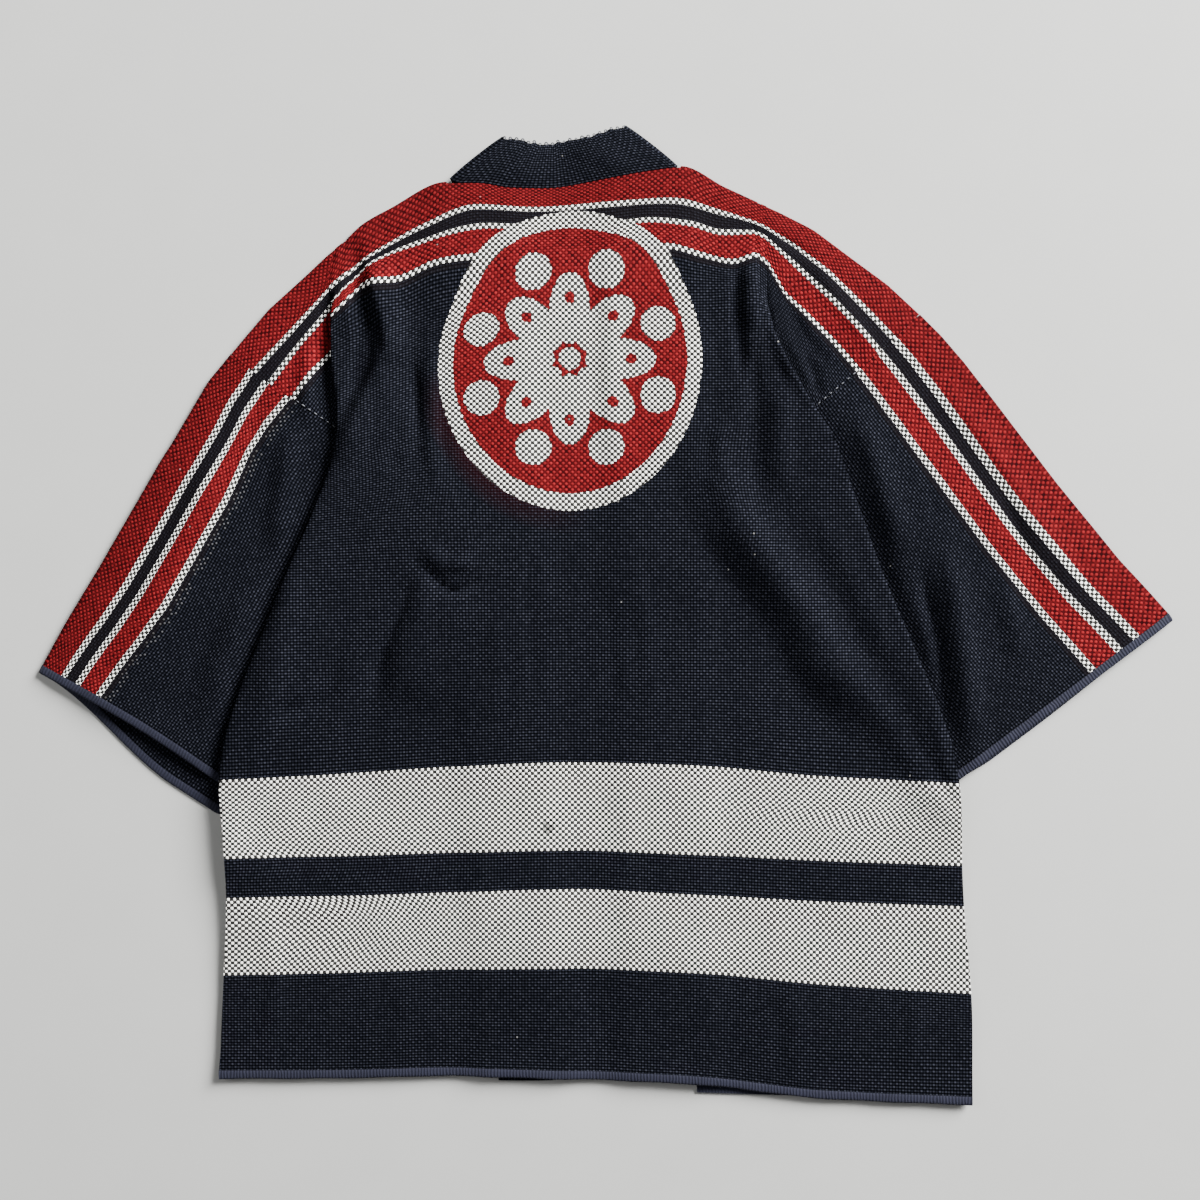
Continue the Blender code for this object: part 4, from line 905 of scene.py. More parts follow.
def fine_back():
    """The back's sheet in fine rows: points, cut places, cells that are there, thinning of columns."""
    plan, drops, cut, present = coarse_back()
    depths = row_depths()
    steps = [max(1, round(gap / ROW_CELL)) for gap in np.diff(depths)]
    fine = np.concatenate([np.linspace(depths[row], depths[row + 1], step + 1)[:-1]
                           for row, step in enumerate(steps)] + [[depths[-1]]])
    parent = np.concatenate([[row] * step for row, step in enumerate(steps)])
    kinds, start, end = back_columns()
    columns = plan.shape[1]
    points = np.zeros((len(fine), columns, 2))
    drop, wide = np.zeros((2, len(fine), columns))
    for column in range(columns):
        last = max([1, *np.flatnonzero(present[:, column])])
        knots = depths[:last + 1]
        points[:, column] = curve(knots, plan[:last + 1, column], fine, free=kinds[column] == "main")
        drop[:, column] = curve(knots, drops[:last + 1, column], fine)
        wide[:, column] = curve(knots, cut[:last + 1, column], fine)
    cells = present[:-1, :-1] & present[1:, :-1] & present[:-1, 1:] & present[1:, 1:]
    cells = cells[parent]
    x, y = points[..., 0], points[..., 1]
    rumpled = relief(x, y) + pillow(fine)[:, None]
    bumps = settled(rumpled)
    base = main_height(x, y)
    least = main_height(x, y, LEAST_RUN) - base
    height = base + settled(rumpled, least)
    for side in SIDES:
        lay_side(side, kinds, x, y, drop, bumps, height)
    grid = np.concatenate([points, height[..., None]], axis=2)
    flat = cut_places(wide, fine[:, None])
    arcs, thin = np.ones(STRIP_CELLS), np.ones(columns)
    arcs[:FOLD_CELLS + 1] = arcs[-FOLD_CELLS - 1:] = FOLD_THIN
    for name in SIDE_NAMES.values():
        thin[kinds == f"{name} pleat"] = arcs
    return (*roll_shoulder(grid, flat, cells, start, end), thin)


def roll_shoulder(grid, flat, cells, start, end):
    """Add the rows that turn the cloth down and under along the shoulder folds."""
    strip = grid[0]
    run = np.gradient(strip[:, :2], axis=0)
    outward = np.stack([-run[:, 1], run[:, 0]], axis=-1)
    outward /= np.maximum(np.linalg.norm(outward, axis=1, keepdims=True), 1e-9)
    radius = LEVEL / 2
    rows, cuts = [], []
    drop = (strip[:, 2] - BOTTOM_LAYER) / 2
    for step in range(1, FOLD_CELLS + LIP_CELLS + 1):
        angle = math.pi * min(step, FOLD_CELLS) / FOLD_CELLS
        reach = radius * math.sin(angle) - LIP * max(step - FOLD_CELLS, 0) / LIP_CELLS
        height = BOTTOM_LAYER + drop * (1 + math.cos(angle))
        rows.append(np.concatenate([strip[:, :2] + outward * reach, height[:, None]], axis=1))
        cuts.append(cut_places(flat[0][:, 0], -radius * angle))
    neck_start, neck_end = start + NECK_STEPS * MAIN_CELLS, end - NECK_STEPS * MAIN_CELLS
    here = np.ones(cells.shape[1], dtype=bool)
    here[neck_start:neck_end] = False
    grid = np.concatenate([np.array(rows[::-1]), grid])
    flat = np.concatenate([np.array(cuts[::-1]), flat])
    cells = np.concatenate([np.repeat(here[None], len(rows), axis=0), cells])
    return grid, flat, cells


# ---------------------------------------------------------------- sleeves
def sleeve_points(side, shares, across, under):
    """Plan places on a sleeve for shares of its length and of its depth from the shoulder fold down."""
    holes = armhole_points(side)
    fold = np.array(SLEEVE_FOLD[side], dtype=float)
    tip, corner = fold[-1], np.array(SLEEVE_CORNER[side], dtype=float)
    run = corner - holes[-1]
    run /= np.linalg.norm(run)
    hole = along(holes, across)[None]
    cuff = (tip + (corner - tip) * across[:, None])[None]
    share = shares[:, None, None]
    bow = along(fold, shares) - (fold[0] + (tip - fold[0]) * shares[:, None])
    places = hole + (cuff - hole) * share + bow[:, None] * (1 - across)[None, :, None]
    places = places + run * (SLEEVE_GAP * (1 - share))
    if under:
        shown = ease((across - SHOWN_START) / SHOWN_RISE)
        shown = shown * (1 - ease((across - SHOWN_END) / SHOWN_FALL))
        move = CUFF_SHIFT[side] * shown[None] * shares[:, None] ** 2
    else:
        move = -CUFF_BOW[side] * np.sin(math.pi * across)[None] * shares[:, None] ** 2
    return places + run * move[..., None], run


def sleeve_layers(side, shares, across, beyond, thickness, rumpled):
    """A closed round sheet: the upper layer, the lower fold, the under layer and the shoulder fold."""
    lower = thickness / 2
    upper = lower + thickness + GAP
    near_cuff = ease((shares - 1 + CUFF_RUN) / CUFF_RUN)[:, None]
    layers = []
    for under in (False, True):
        places, run = sleeve_points(side, shares, across, under)
        places = places + run * np.asarray(beyond, dtype=float).reshape(-1, 1, 1)
        x, y = places[..., 0], places[..., 1]
        height = (lower if under else upper) + lift(side, x, y)
        if not under:
            clear = ease(((x - fold_line(side, y)) * side - CUFF_CLEAR[0]) / CUFF_CLEAR[1])
            height = height + CUFF_OPEN[side] * near_cuff * clear * np.sin(math.pi * across)[None]
            if rumpled:
                height = height + SLEEVE_EASE * ease(shares / EASE_SHARE)[:, None] * outside_pleat(side, x, y)
            bumps = settled(relief(x, y) + pillow(across[None] * SLEEVE_DEPTH))
            height = height + bumps * outside_pleat(side, x, y)
        layers.append(np.concatenate([places, height[..., None]], axis=2))
    top, bottom = layers
    down = top[:, -1] - top[:, 0]
    bottom = bottom[:, ::-1]
    grid = np.concatenate([top, half_turn(top[:, -1], bottom[:, 0], down),
                           bottom, half_turn(bottom[:, -1], top[:, 0], -down)], axis=1)
    turn = np.ones(FOLD_CELLS - 1)
    return grid, np.tile(np.concatenate([across, turn, across[::-1], 0 * turn]), (len(shares), 1))


def half_turn(start, end, outward):
    """Points between two layers, round the outside of the fold that joins them."""
    outward = outward * np.array([1.0, 1.0, 0.0])
    outward /= np.linalg.norm(outward, axis=1, keepdims=True)
    middle, arm = (start + end) / 2, (start - end) / 2
    radius = np.minimum(np.abs(arm[:, 2]), TURN_REACH)[:, None]
    points = []
    for step in range(1, FOLD_CELLS):
        angle = math.pi * step / FOLD_CELLS
        points.append(middle + arm * math.cos(angle) + outward * radius * math.sin(angle))
    return np.stack(points, axis=1)


def stripe_depth(side, shares, across):
    """Depth in the striped cut for places on a sleeve."""
    hole = distances(armhole_points(side))[-1]
    tip = np.array(SLEEVE_FOLD[side][-1], dtype=float)
    cuff = np.linalg.norm(np.array(SLEEVE_CORNER[side], dtype=float) - tip)
    depth = across * (hole + (cuff - hole) * shares[:, None])
    table = np.array(SLEEVE_STRIPES[side])
    cut = np.empty_like(depth)
    for row, share in enumerate(shares):
        here = [np.interp(share, table[:, 0], stripe) for stripe in table[:, 1:].T]
        knots = [0.0, *here, here[-1] + BELOW_STRIPES]
        cut[row] = np.interp(depth[row], knots, STRIPE_DEPTHS + [STRIPE_DEPTHS[-1] + BELOW_STRIPES])
    return cut


def sleeve_shell(side, materials):
    """One sleeve: a cloth folded round, open at the armhole and at the cuff."""
    shares = np.linspace(0.0, 1.0, SLEEVE_CELLS[0] + 1)
    across = np.linspace(0.0, 1.0, SLEEVE_CELLS[1] + 1)
    grid, down = sleeve_layers(side, shares, across, np.zeros(len(shares)), CLOTH, True)
    depth = stripe_depth(side, shares, down)
    flat = cut_places((side * shares * SLEEVE_LONG)[:, None], depth)
    grid, flat = grid[:, ::-side], flat[:, ::-side]
    return shell(f"happi_sleeve_{SIDE_NAMES[side]}", materials, grid, flat, cloth_thickness(), wrap=True)


# ---------------------------------------------------------------- collar
def neck_edge(x):
    """y of the back's neck edge."""
    route = row_route(0)
    return curve(route[:, 0], route[:, 1], x)


def front_lines(side):
    """Lines across the band down one front, from its hem to its top."""
    return [((*seam, BAND / 2), (*free, BAND / 2)) for seam, free in BAND_FRONT[side]]


def turn_lines(side):
    """Lines across the band where it folds over at the top of one front."""
    seam, free = (np.array(place, dtype=float) for place in BAND_FOLD[side])
    run = (free - seam) / np.linalg.norm(free - seam)
    outward = np.array([run[1], -run[0]]) * side
    outward = outward if outward[1] > 0 else -outward
    radius = (BAND + GAP) / 2
    turned = []
    for step in range(TURN_CELLS + 1):
        angle = math.pi * step / TURN_CELLS
        reach = outward * radius * math.sin(angle)
        height = BAND / 2 + radius * (1 - math.cos(angle))
        turned.append(((*(seam + reach), height), (*(free + reach), height)))
    return turned


def collar_lines():
    """Lines across the collar band from its seam side to its free side, in fine steps."""
    lines = front_lines(LEFT) + turn_lines(LEFT)
    for x, (free_x, free_y, height) in zip(BAND_NECK_X, BAND_NECK):
        lines.append(((x, float(neck_edge(x)) + NECK_GAP, height), (free_x, free_y, height)))
    lines = np.array(lines + turn_lines(RIGHT)[::-1] + front_lines(RIGHT)[::-1], dtype=float)
    away = distances(lines.mean(axis=1))
    fine = []
    for start, end in zip(away[:-1], away[1:]):
        fine += list(np.linspace(start, end, max(1, round((end - start) / BAND_CELL)) + 1))[:-1]
    fine = np.array(fine + [away[-1]])
    seam, free = curve(away, lines[:, 0], fine), curve(away, lines[:, 1], fine)
    first = len(BAND_FRONT[LEFT]) + TURN_CELLS
    last = len(lines) - 1 - len(BAND_FRONT[RIGHT]) - TURN_CELLS
    neck = (fine > away[first] + 1e-6) & (fine < away[last] - 1e-6)
    seam[neck, 1] = neck_edge(seam[neck, 0]) + NECK_GAP
    return seam, free, fine, neck


def collar_sheet():
    """The collar band's sheet of points with its cut places."""
    seam, free, fine, neck = collar_lines()
    waves = sum(high * np.sin(fine * turn + start) for high, turn, start in EDGE_WAVES)
    free[:, 1] += np.where(neck, waves, 0.0)
    across = np.linspace(0.0, 1.0, BAND_ACROSS + 1)
    grid = seam[:, None] + (free - seam)[:, None] * across[None, :, None]
    wave = BAND_WAVE[0] * (1 + np.sin(fine[:, None] * BAND_WAVE[1] + BAND_SKEW * across[None]))
    wave = wave * np.sin(math.pi * across)[None]
    grid[..., 2] += np.where(neck[:, None], wave, 0.0)
    flat = cut_places(fine[:, None], BAND_CUT + across * BAND_WIDTH)
    thick = BAND * np.clip(np.sin(math.pi * (across * 0.96 + 0.02)) ** BAND_ROUND, BAND_LEAST, 1.0)
    return grid, flat, thick - GAP


# ---------------------------------------------------------------- bindings
def tape_profile():
    """Shares across a binding and its thickness there: pressed shut, with a round outer edge."""
    shares, thickness = np.array(TAPE_PROFILE).T
    return shares, TAPE * thickness


def cuff_tape(side, materials):
    """Tape folded over a cuff's edge, all round."""
    shares, thickness = tape_profile()
    across = np.linspace(0.0, 1.0, SLEEVE_CELLS[1] + 1)
    beyond = GAP + TAPE_WIDTH * shares
    grid, down = sleeve_layers(side, np.ones(len(shares)), across, beyond, TAPE, False)
    around = down * CUFF_ROUND
    under = np.arange(grid.shape[1]) >= len(across)
    flat = cut_places(around + UNDER_CUFF * under, (shares * TAPE_WIDTH)[:, None])
    wave = CUFF_WAVE[0] * np.sin(around * CUFF_WAVE[1])
    grid[..., 2] += wave * ~under * np.sin(math.pi * down)
    grid, flat = grid[:, ::-side], flat[:, ::-side]
    return shell(f"happi_cuff_tape_{SIDE_NAMES[side]}", materials, grid, flat, thickness[:, None], wrap=True)


def hem_tape(materials):
    """Tape folded over the hem of the back."""
    shares, thickness = tape_profile()
    hem = main_places(len(PLEAT[LEFT]) - 1)
    x, y = hem.T
    height = main_height(x, y) + settled(relief(x, y) + pillow(HEM_DEPTH))
    drop = GAP + (TAPE_WIDTH + HEM_WAVE[0] * np.sin(x * HEM_WAVE[1])) * shares[:, None]
    grid = np.stack(np.broadcast_arrays(x, y - drop, height), axis=-1)
    flat = cut_places(x, (shares * TAPE_WIDTH)[:, None])
    return shell("happi_hem_tape_back", materials, grid, flat, thickness[:, None])


# ---------------------------------------------------------------- shading in plain arithmetic
def arithmetic(operation, turned=False):
    """A method that adds one step of arithmetic to a node tree."""
    def method(self, *others):
        values = (*others, self) if turned else (self, *others)
        return self.board.maths(operation, *values)
    return method


class Tone:
    """A socket of a node tree that takes part in plain arithmetic."""

    def __init__(self, board, socket):
        self.board, self.socket = board, socket

    __add__ = __radd__ = arithmetic("ADD")
    __sub__, __rsub__ = arithmetic("SUBTRACT"), arithmetic("SUBTRACT", turned=True)
    __mul__ = __rmul__ = arithmetic("MULTIPLY")
    __truediv__, __rtruediv__ = arithmetic("DIVIDE"), arithmetic("DIVIDE", turned=True)
    __lt__, __gt__ = arithmetic("LESS_THAN"), arithmetic("GREATER_THAN")
    floor, part = arithmetic("FLOOR"), arithmetic("FRACT")
    size, root = arithmetic("ABSOLUTE"), arithmetic("SQRT")
    wave, swing = arithmetic("SINE"), arithmetic("COSINE")
    least, most = arithmetic("MINIMUM"), arithmetic("MAXIMUM")

    def held(self):
        """The value kept from 0 to 1."""
        return self.least(1.0).most(0.0)

    def between(self, low, high):
        """1 where the value lies between two others."""
        return (self > low) * (self < high)


class Board:
    """The nodes of one material or geometry tree; an input is given by name, or by number as n0, n1."""

    def __init__(self, tree):
        self.tree = tree

    def node(self, kind, settings=None, **inputs):
        """A node with its settings made first, then the values and links of its inputs."""
        made = self.tree.nodes.new(kind)
        for key, value in (settings or {}).items():
            setattr(made, key, value)
        for key, value in inputs.items():
            self.put(made.inputs[int(key[1:]) if key[1:].isdigit() else key], value)
        return made

    def put(self, socket, value):
        """Set or link one input."""
        value = value.socket if isinstance(value, Tone) else value
        if isinstance(value, bpy.types.NodeSocket):
            self.tree.links.new(value, socket)
        else:
            socket.default_value = (*value, 1.0) if socket.type == "RGBA" else value

    def tone(self, kind, output=0, settings=None, **inputs):
        """One output of a new node, ready for arithmetic."""
        return Tone(self, self.node(kind, settings, **inputs).outputs[output])

    def maths(self, operation, *values):
        """One step of arithmetic."""
        inputs = {f"n{number}": value for number, value in enumerate(values)}
        return self.tone("ShaderNodeMath", 0, {"operation": operation}, **inputs)

    def mix(self, share, first, second):
        """A colour between two others."""
        return self.tone("ShaderNodeMix", 2, {"data_type": "RGBA"}, n0=share, n6=first, n7=second)

    def scaled(self, colour, factor):
        """A colour made lighter or darker by a factor."""
        return self.tone("ShaderNodeVectorMath", 0, {"operation": "SCALE"}, n0=colour, Scale=factor)

    def place(self):
        """The place in the object, in metres."""
        return self.tone("ShaderNodeTexCoord", "Object")

    def noise(self, place, scale, detail=2.0):
        """Soft noise from 0 to 1."""
        return self.tone("ShaderNodeTexNoise", 0, {"noise_dimensions": "3D"}, Vector=place, Scale=scale,
                         Detail=detail)

    def chance(self, first, second, third=0.0):
        """An even random number from 0 to 1 for each pair of whole numbers."""
        vector = self.tone("ShaderNodeCombineXYZ", X=first, Y=second, Z=third)
        return self.tone("ShaderNodeTexWhiteNoise", 0, {"noise_dimensions": "3D"}, Vector=vector)

    def dress(self, shader, colour, height, depth, strength, fine, rough, rougher):
        """Colour a surface, raise its relief and roughen it where its fine noise is high."""
        self.put(shader.inputs["Base Color"], colour)
        bump = self.tone("ShaderNodeBump", Strength=strength, Distance=depth, Height=height)
        self.put(shader.inputs["Normal"], bump)
        self.put(shader.inputs["Roughness"], rough + rougher * fine)


def new_material(name):
    """An empty material with its board and its shader."""
    material = bpy.data.materials.new(name)
    material.use_nodes = True
    tree = material.node_tree
    tree.nodes.clear()
    board = Board(tree)
    shader = board.node("ShaderNodeBsdfPrincipled")
    board.node("ShaderNodeOutputMaterial", Surface=shader.outputs[0])
    return material, board, shader


def cut_place(board):
    """The place in the flat cut, in metres across and down."""
    cut = board.tone("ShaderNodeUVMap", 0, {"uv_map": "cut"})
    parts = board.node("ShaderNodeSeparateXYZ", Vector=cut)
    return Tone(board, parts.outputs[0]), Tone(board, parts.outputs[1])


def oval(x, y, place_x, place_y, half_x, half_y):
    """1 inside an oval."""
    across, down = (x - place_x) / half_x, (y - place_y) / half_y
    return (across * across + down * down) < 1.0


def in_lines(place, edges, spare=0.0, total=None):
    """1 inside any of some lines, each made narrower by a spare on both its sides."""
    for low, high in edges:
        here = place.between(low + spare, high - spare)
        total = here if total is None else total.most(here)
    return total


def emblem_masks(board, x, y, sizes):
    """Where the back's round emblem is, and where its white parts are."""
    across, down = x / sizes.ring_wide, y / sizes.ring_high
    round_off = (across * across + down * down).root()
    inside = round_off < 1.0
    ring = inside * (round_off > RING_INSIDE)
    away = (x * x + y * y).root()
    turn = board.maths("ARCTAN2", y, x)
    petal_x, petal_y = sector_place(away, turn * (PETALS / math.tau) + 0.5)
    petal = oval(petal_x, petal_y, *PETAL)
    notch = oval(petal_x, petal_y, *NOTCH)
    spot = oval(*sector_place(away, turn * (PETALS / math.tau)), *SPOT)
    heart = away < HEART
    flower = (petal * (1 - notch)).most(spot).most(heart)
    bleed = (round_off > 1.0) * ((BLEED_REACH - round_off) * 6.0).held() * (y * 20.0).held()
    bleed = bleed * ((0.02 - x) * 12.0).held()
    return inside, ring.most(flower * inside), bleed


def sector_place(away, sectors):
    """Places along and beside the middle of the nearest of the flower's sectors."""
    angle = (sectors.part() - 0.5) * (math.tau / PETALS)
    return away * angle.swing(), away * angle.wave()


class Grains:
    """The grains of the weave: where they lie, their chances, hollows, wear and painted highlight."""

    def __init__(self, board, sizes):
        self.across, self.down = cut_place(board)
        column_place, row_place = self.across / sizes.grain_wide, self.down / sizes.grain_high
        column, row = column_place.floor(), row_place.floor()
        self.off_x, self.off_y = column_place - column - 0.5, row_place - row - 0.5
        self.odd = ((column + row) * 0.5).part() * 2.0
        self.luck = board.chance(column, row)
        self.other_luck = board.chance(column, row, 7.0)
        self.middle_x = (column + 0.5) * sizes.grain_wide
        self.middle_y = (row + 0.5) * sizes.grain_high
        self.away = self.square().root()
        hole = (1 - self.odd) * (self.away < HOLE)
        self.pit = hole.most(self.off_x.size() > SIDE_GAP).most(self.off_y.size() > END_GAP).held()
        self.soft_pit = (1 - self.odd) * (1 - self.away * 2.2).held()
        corner_x, corner_y = 0.5 - self.off_x.size(), 0.5 - self.off_y.size()
        self.crossing = (corner_x * corner_x + corner_y * corner_y).root() < CROSSING
        self.cloudy = board.noise(board.place(), CLOUDS, 3.0)
        self.fine = board.noise(board.place(), FIBRES)
        self.worn = board.noise(board.place(), WEAR, 4.0)
        wide, high = GRAIN_OVAL
        from_middle = (self.off_x * self.off_x * wide + self.off_y * self.off_y * high).root()
        # Painted highlight: each grain is lighter in its middle and darker towards its edge, over faded yarn
        grain = (GRAIN_LIGHT - from_middle * GRAIN_EDGE).held()
        light = grain * (0.56 + 0.44 * self.odd) * (0.46 + 0.98 * self.luck)
        self.fade = (light * (0.62 + 0.8 * self.cloudy)).held()

    def square(self):
        """Square of the distance from a grain's middle."""
        return self.off_x * self.off_x + self.off_y * self.off_y


def striped(board, grains, sizes, colours, colour, banded):
    """The ground's colour with the stripes over it, and on the back its bands, emblem, bleed and stain."""
    across, down, middle_y = grains.across, grains.down, grains.middle_y
    luck, odd, away, crossing = grains.luck, grains.odd, grains.away, grains.crossing
    red_gap, white_yarn = tuple(colours.red_gap), tuple(colours.white)
    white = in_lines(down, WHITE_LINES, BACK_SPARE if banded else 0.0)
    red = (middle_y < RED_EDGE).most(middle_y.between(*RED_STRIPE))
    black = in_lines(middle_y, BLACK_LINES)
    if banded:
        white = in_lines(middle_y, WHITE_BANDS, total=white)
        x = grains.middle_x * 0.3 + across * 0.7 - EMBLEM_PLACE[0] / 1000.0
        y = middle_y * 0.3 + down * 0.7 - (CUT_TOP - EMBLEM_PLACE[1]) / 1000.0
        inside, drawn, bleed = emblem_masks(board, x, y, sizes)
        colour = board.mix(bleed * BLEED, colour, red_gap)
        white = white * (1 - inside) + drawn
        red = (red * (1 - inside)).most(inside * (1 - drawn))
        black = black * (1 - inside)
    red_light = (odd * (1 - away * 0.75) * (0.72 + 0.5 * luck) + (1 - odd) * 0.30 * luck).held()
    red_colour = board.mix(red_light, red_gap, tuple(colours.red))
    red_colour = board.scaled(red_colour, (0.82 + 0.36 * grains.cloudy) * (1 - crossing * 0.45))
    dirt = (0.80 + 0.26 * grains.worn) * (0.93 + 0.09 * luck)
    # Painted shade: the red is made up to 30% darker within 60 mm of the shoulder fold
    near = (1.0 - (across.size() - 0.27) * 7.0).held()
    red_colour = board.scaled(red_colour, 1 - (1 - down / 0.060).held() * near * 0.30)
    if banded:
        dirt = dirt * (1 - oval(across, down, *STAIN) * (luck > 0.3) * STAIN_DARK)
    white_colour = board.scaled(white_yarn, dirt * (1 - grains.pit * 0.985) * (1 - crossing * 0.3))
    # The black stripe's grain tops are lighter by the same faded yarn and painted highlight
    black_colour = board.mix(grains.fade * 0.35, tuple(colours.black), tuple(colours.navy_grain))
    colour = board.mix(black, colour, black_colour)
    colour = board.mix(red, colour, red_colour)
    colour = board.mix(white.held(), colour, white_colour)
    if not banded:
        worn_line = ((across + 0.43) * 14.0).held() * (across < 0.0) * middle_y.between(*WORN_LINE)
        worn_line = worn_line * (luck > 0.35) * (away < 0.34) * odd
        colour = board.mix(worn_line * WORN_LIGHT, colour, white_yarn)
    return colour


def sashiko(kind, sizes, colours):
    """Sashiko weave: grains in quincunx, coloured grain by grain from the flat cut."""
    material, board, shader = new_material(f"sashiko {kind}")
    grains = Grains(board, sizes)
    # Navy ground with lighter grain tops: faded yarn and painted highlight
    colour = board.mix(grains.fade, tuple(colours.navy), tuple(colours.navy_grain))
    colour = board.scaled(colour, (1 - grains.crossing * 0.80) * (1 - grains.pit * 0.20))
    if kind != "plain":
        colour = striped(board, grains, sizes, colours, colour, kind == "back")
    lint = (grains.other_luck > LINT) * (grains.away < CROSSING)
    colour = board.mix(lint * 0.3, colour, LINT_COLOUR)
    dome = (1 - grains.square() * 2.0) * (0.55 + 0.45 * grains.odd)
    height = dome * (0.85 + 0.3 * grains.luck) + grains.fine * 0.25 - grains.soft_pit * 0.35
    board.dress(shader, colour, height, sizes.grain_depth, 0.8, grains.fine, 0.86, 0.10)
    shader.inputs["Specular IOR Level"].default_value = 0.02
    return material


def tape_material(sizes, colours):
    """Ribbed slate binding tape: paler where worn, on its ribs (painted highlight) and at its outer edge."""
    material, board, shader = new_material("binding tape")
    around, across = cut_place(board)
    place = board.place()
    waver = board.noise(place, 120.0)
    rib = ((around / sizes.rib + waver * 0.9) * math.tau).wave() * 0.5 + 0.5
    worn = board.noise(place, 60.0, 3.0)
    fine = board.noise(place, 1400.0)
    edge = (across / (TAPE_WIDTH / 1000.0)).held()
    # Paler on the ribs as painted highlight, on worn patches as wear, and towards the tape's outer edge
    light = (rib * 0.55 + worn * 0.60 + edge * 0.18 - 0.22).held()
    colour = board.mix(light, tuple(colours.slate), tuple(colours.slate_worn_and_highlit))
    board.dress(shader, colour, rib + fine * 0.4, 0.0004, 0.7, fine, 0.70, 0.15)
    shader.inputs["Specular IOR Level"].default_value = 0.10
    shader.inputs["Sheen Weight"].default_value = 0.01
    return material


def thread_material(name, colour, depth):
    """Twisted thread."""
    material, board, shader = new_material(name)
    twist = board.noise(board.place(), 2500.0)
    colour = board.scaled(tuple(colour), 0.7 + 0.6 * twist)
    board.dress(shader, colour, twist, depth, 0.5, twist, 0.8, 0.1)
    return material


def floor_material(colours):
    """Plain pale floor."""
    material, board, shader = new_material("floor")
    soft = board.noise(board.place(), 14.0, 5.0)
    board.put(shader.inputs["Base Color"], board.scaled(tuple(colours.floor), 0.96 + 0.08 * soft))
    board.put(shader.inputs["Roughness"], 0.9 + 0.05 * soft)
    return material


def shared(name, make):
    """A material made once and then shared."""
    return bpy.data.materials.get(name) or make()


def weave(kind):
    """One sashiko weave: plain, striped, or the back's with its bands and emblem."""
    scene = bpy.context.scene
    return shared(f"sashiko {kind}", lambda: sashiko(kind, scene.coat_sizes, scene.coat_colours))


def cloth_materials(kind):
    """The outer weave of a piece and its plain reverse."""
    reverse = weave("plain")
    return [weave(kind), reverse]


def tape():
    """The binding tape's material."""
    scene = bpy.context.scene
    return shared("binding tape", lambda: tape_material(scene.coat_sizes, scene.coat_colours))


# ---------------------------------------------------------------- repeated sewing
def repeat_tree(name, shape):
    """A tree that sets one shape along a path: stitches that lie along it, or loops that stand on it."""
    tree = bpy.data.node_groups.new(name, "GeometryNodeTree")
    face = tree.interface
    names = [face.new_socket(name, in_out="INPUT", socket_type=f"NodeSocket{kind}").identifier
             for name, kind in (("Path", "Geometry"), ("Pitch", "Float"), ("Length", "Float"),
                                ("Thickness", "Float"), ("Finish", "Material"))]
    face.new_socket("Sewing", in_out="OUTPUT", socket_type="NodeSocketGeometry")
    board = Board(tree)
    given = board.node("NodeGroupInput").outputs
    places = board.tone("GeometryNodeResampleCurve", 0, {"mode": "LENGTH"}, Curve=given["Path"],
                        Length=given["Pitch"])
    tangent = board.tone("GeometryNodeInputTangent")
    turned = board.tone("FunctionNodeAlignRotationToVector", 0, {"axis": "X"}, Vector=tangent)
    uneven = board.tone("FunctionNodeRandomValue", 1, {"data_type": "FLOAT"}, n2=0.7, n3=1.3, Seed=5)
    thick = given["Thickness"]
    if shape == "stitch":
        ball = board.tone("GeometryNodeMeshUVSphere", Segments=6, Rings=4, Radius=1.0)
        half_long = board.maths("MULTIPLY", given["Length"], 0.5)
        size = board.tone("ShaderNodeCombineXYZ", X=half_long, Y=thick, Z=thick)
        part = board.tone("GeometryNodeTransform", Geometry=ball, Scale=size)
    else:
        circle, by_radius = "GeometryNodeCurvePrimitiveCircle", {"mode": "RADIUS"}
        ring = board.tone(circle, 0, by_radius, Resolution=8, Radius=given["Length"])
        profile = board.tone(circle, 0, by_radius, Resolution=4, Radius=thick)
        part = board.tone("GeometryNodeCurveToMesh", Curve=ring, n1=profile)
    row = board.tone("GeometryNodeInstanceOnPoints", Points=places, Instance=part, Rotation=turned,
                     Scale=uneven)
    real = board.tone("GeometryNodeRealizeInstances", Geometry=row)
    smooth = board.tone("GeometryNodeSetShadeSmooth", Geometry=real)
    coloured = board.tone("GeometryNodeSetMaterial", Geometry=smooth, Material=given["Finish"])
    board.node("NodeGroupOutput", Sewing=coloured)
    return tree, names[1:]


def sew(name, routes, shape, pitch, long, thick, material):
    """Run a repeated shape along routes in millimetres, and keep the result as a plain mesh."""
    path = bpy.data.curves.new(name + " path", "CURVE")
    path.dimensions = "3D"
    for route in routes:
        spline = path.splines.new("POLY")
        spline.points.add(len(route) - 1)
        for point, place in zip(spline.points, route):
            point.co = (*((np.asarray(place) + SHIFT) / 1000.0), 1.0)
    carrier = placed(name + " path", path)
    tree, inputs = repeat_tree(name + " tree", shape)
    modifier = carrier.modifiers.new("sewing", "NODES")
    modifier.node_group = tree
    for key, value in zip(inputs, (pitch, long, thick, material)):
        modifier[key] = value
    ready = carrier.evaluated_get(bpy.context.evaluated_depsgraph_get())
    mesh = bpy.data.meshes.new_from_object(ready)
    mesh.name = name
    carrier.modifiers.remove(modifier)
    bpy.data.objects.remove(carrier)
    if not len(mesh.polygons):
        raise RuntimeError(f"{name} came out empty")
    return placed(name, mesh)


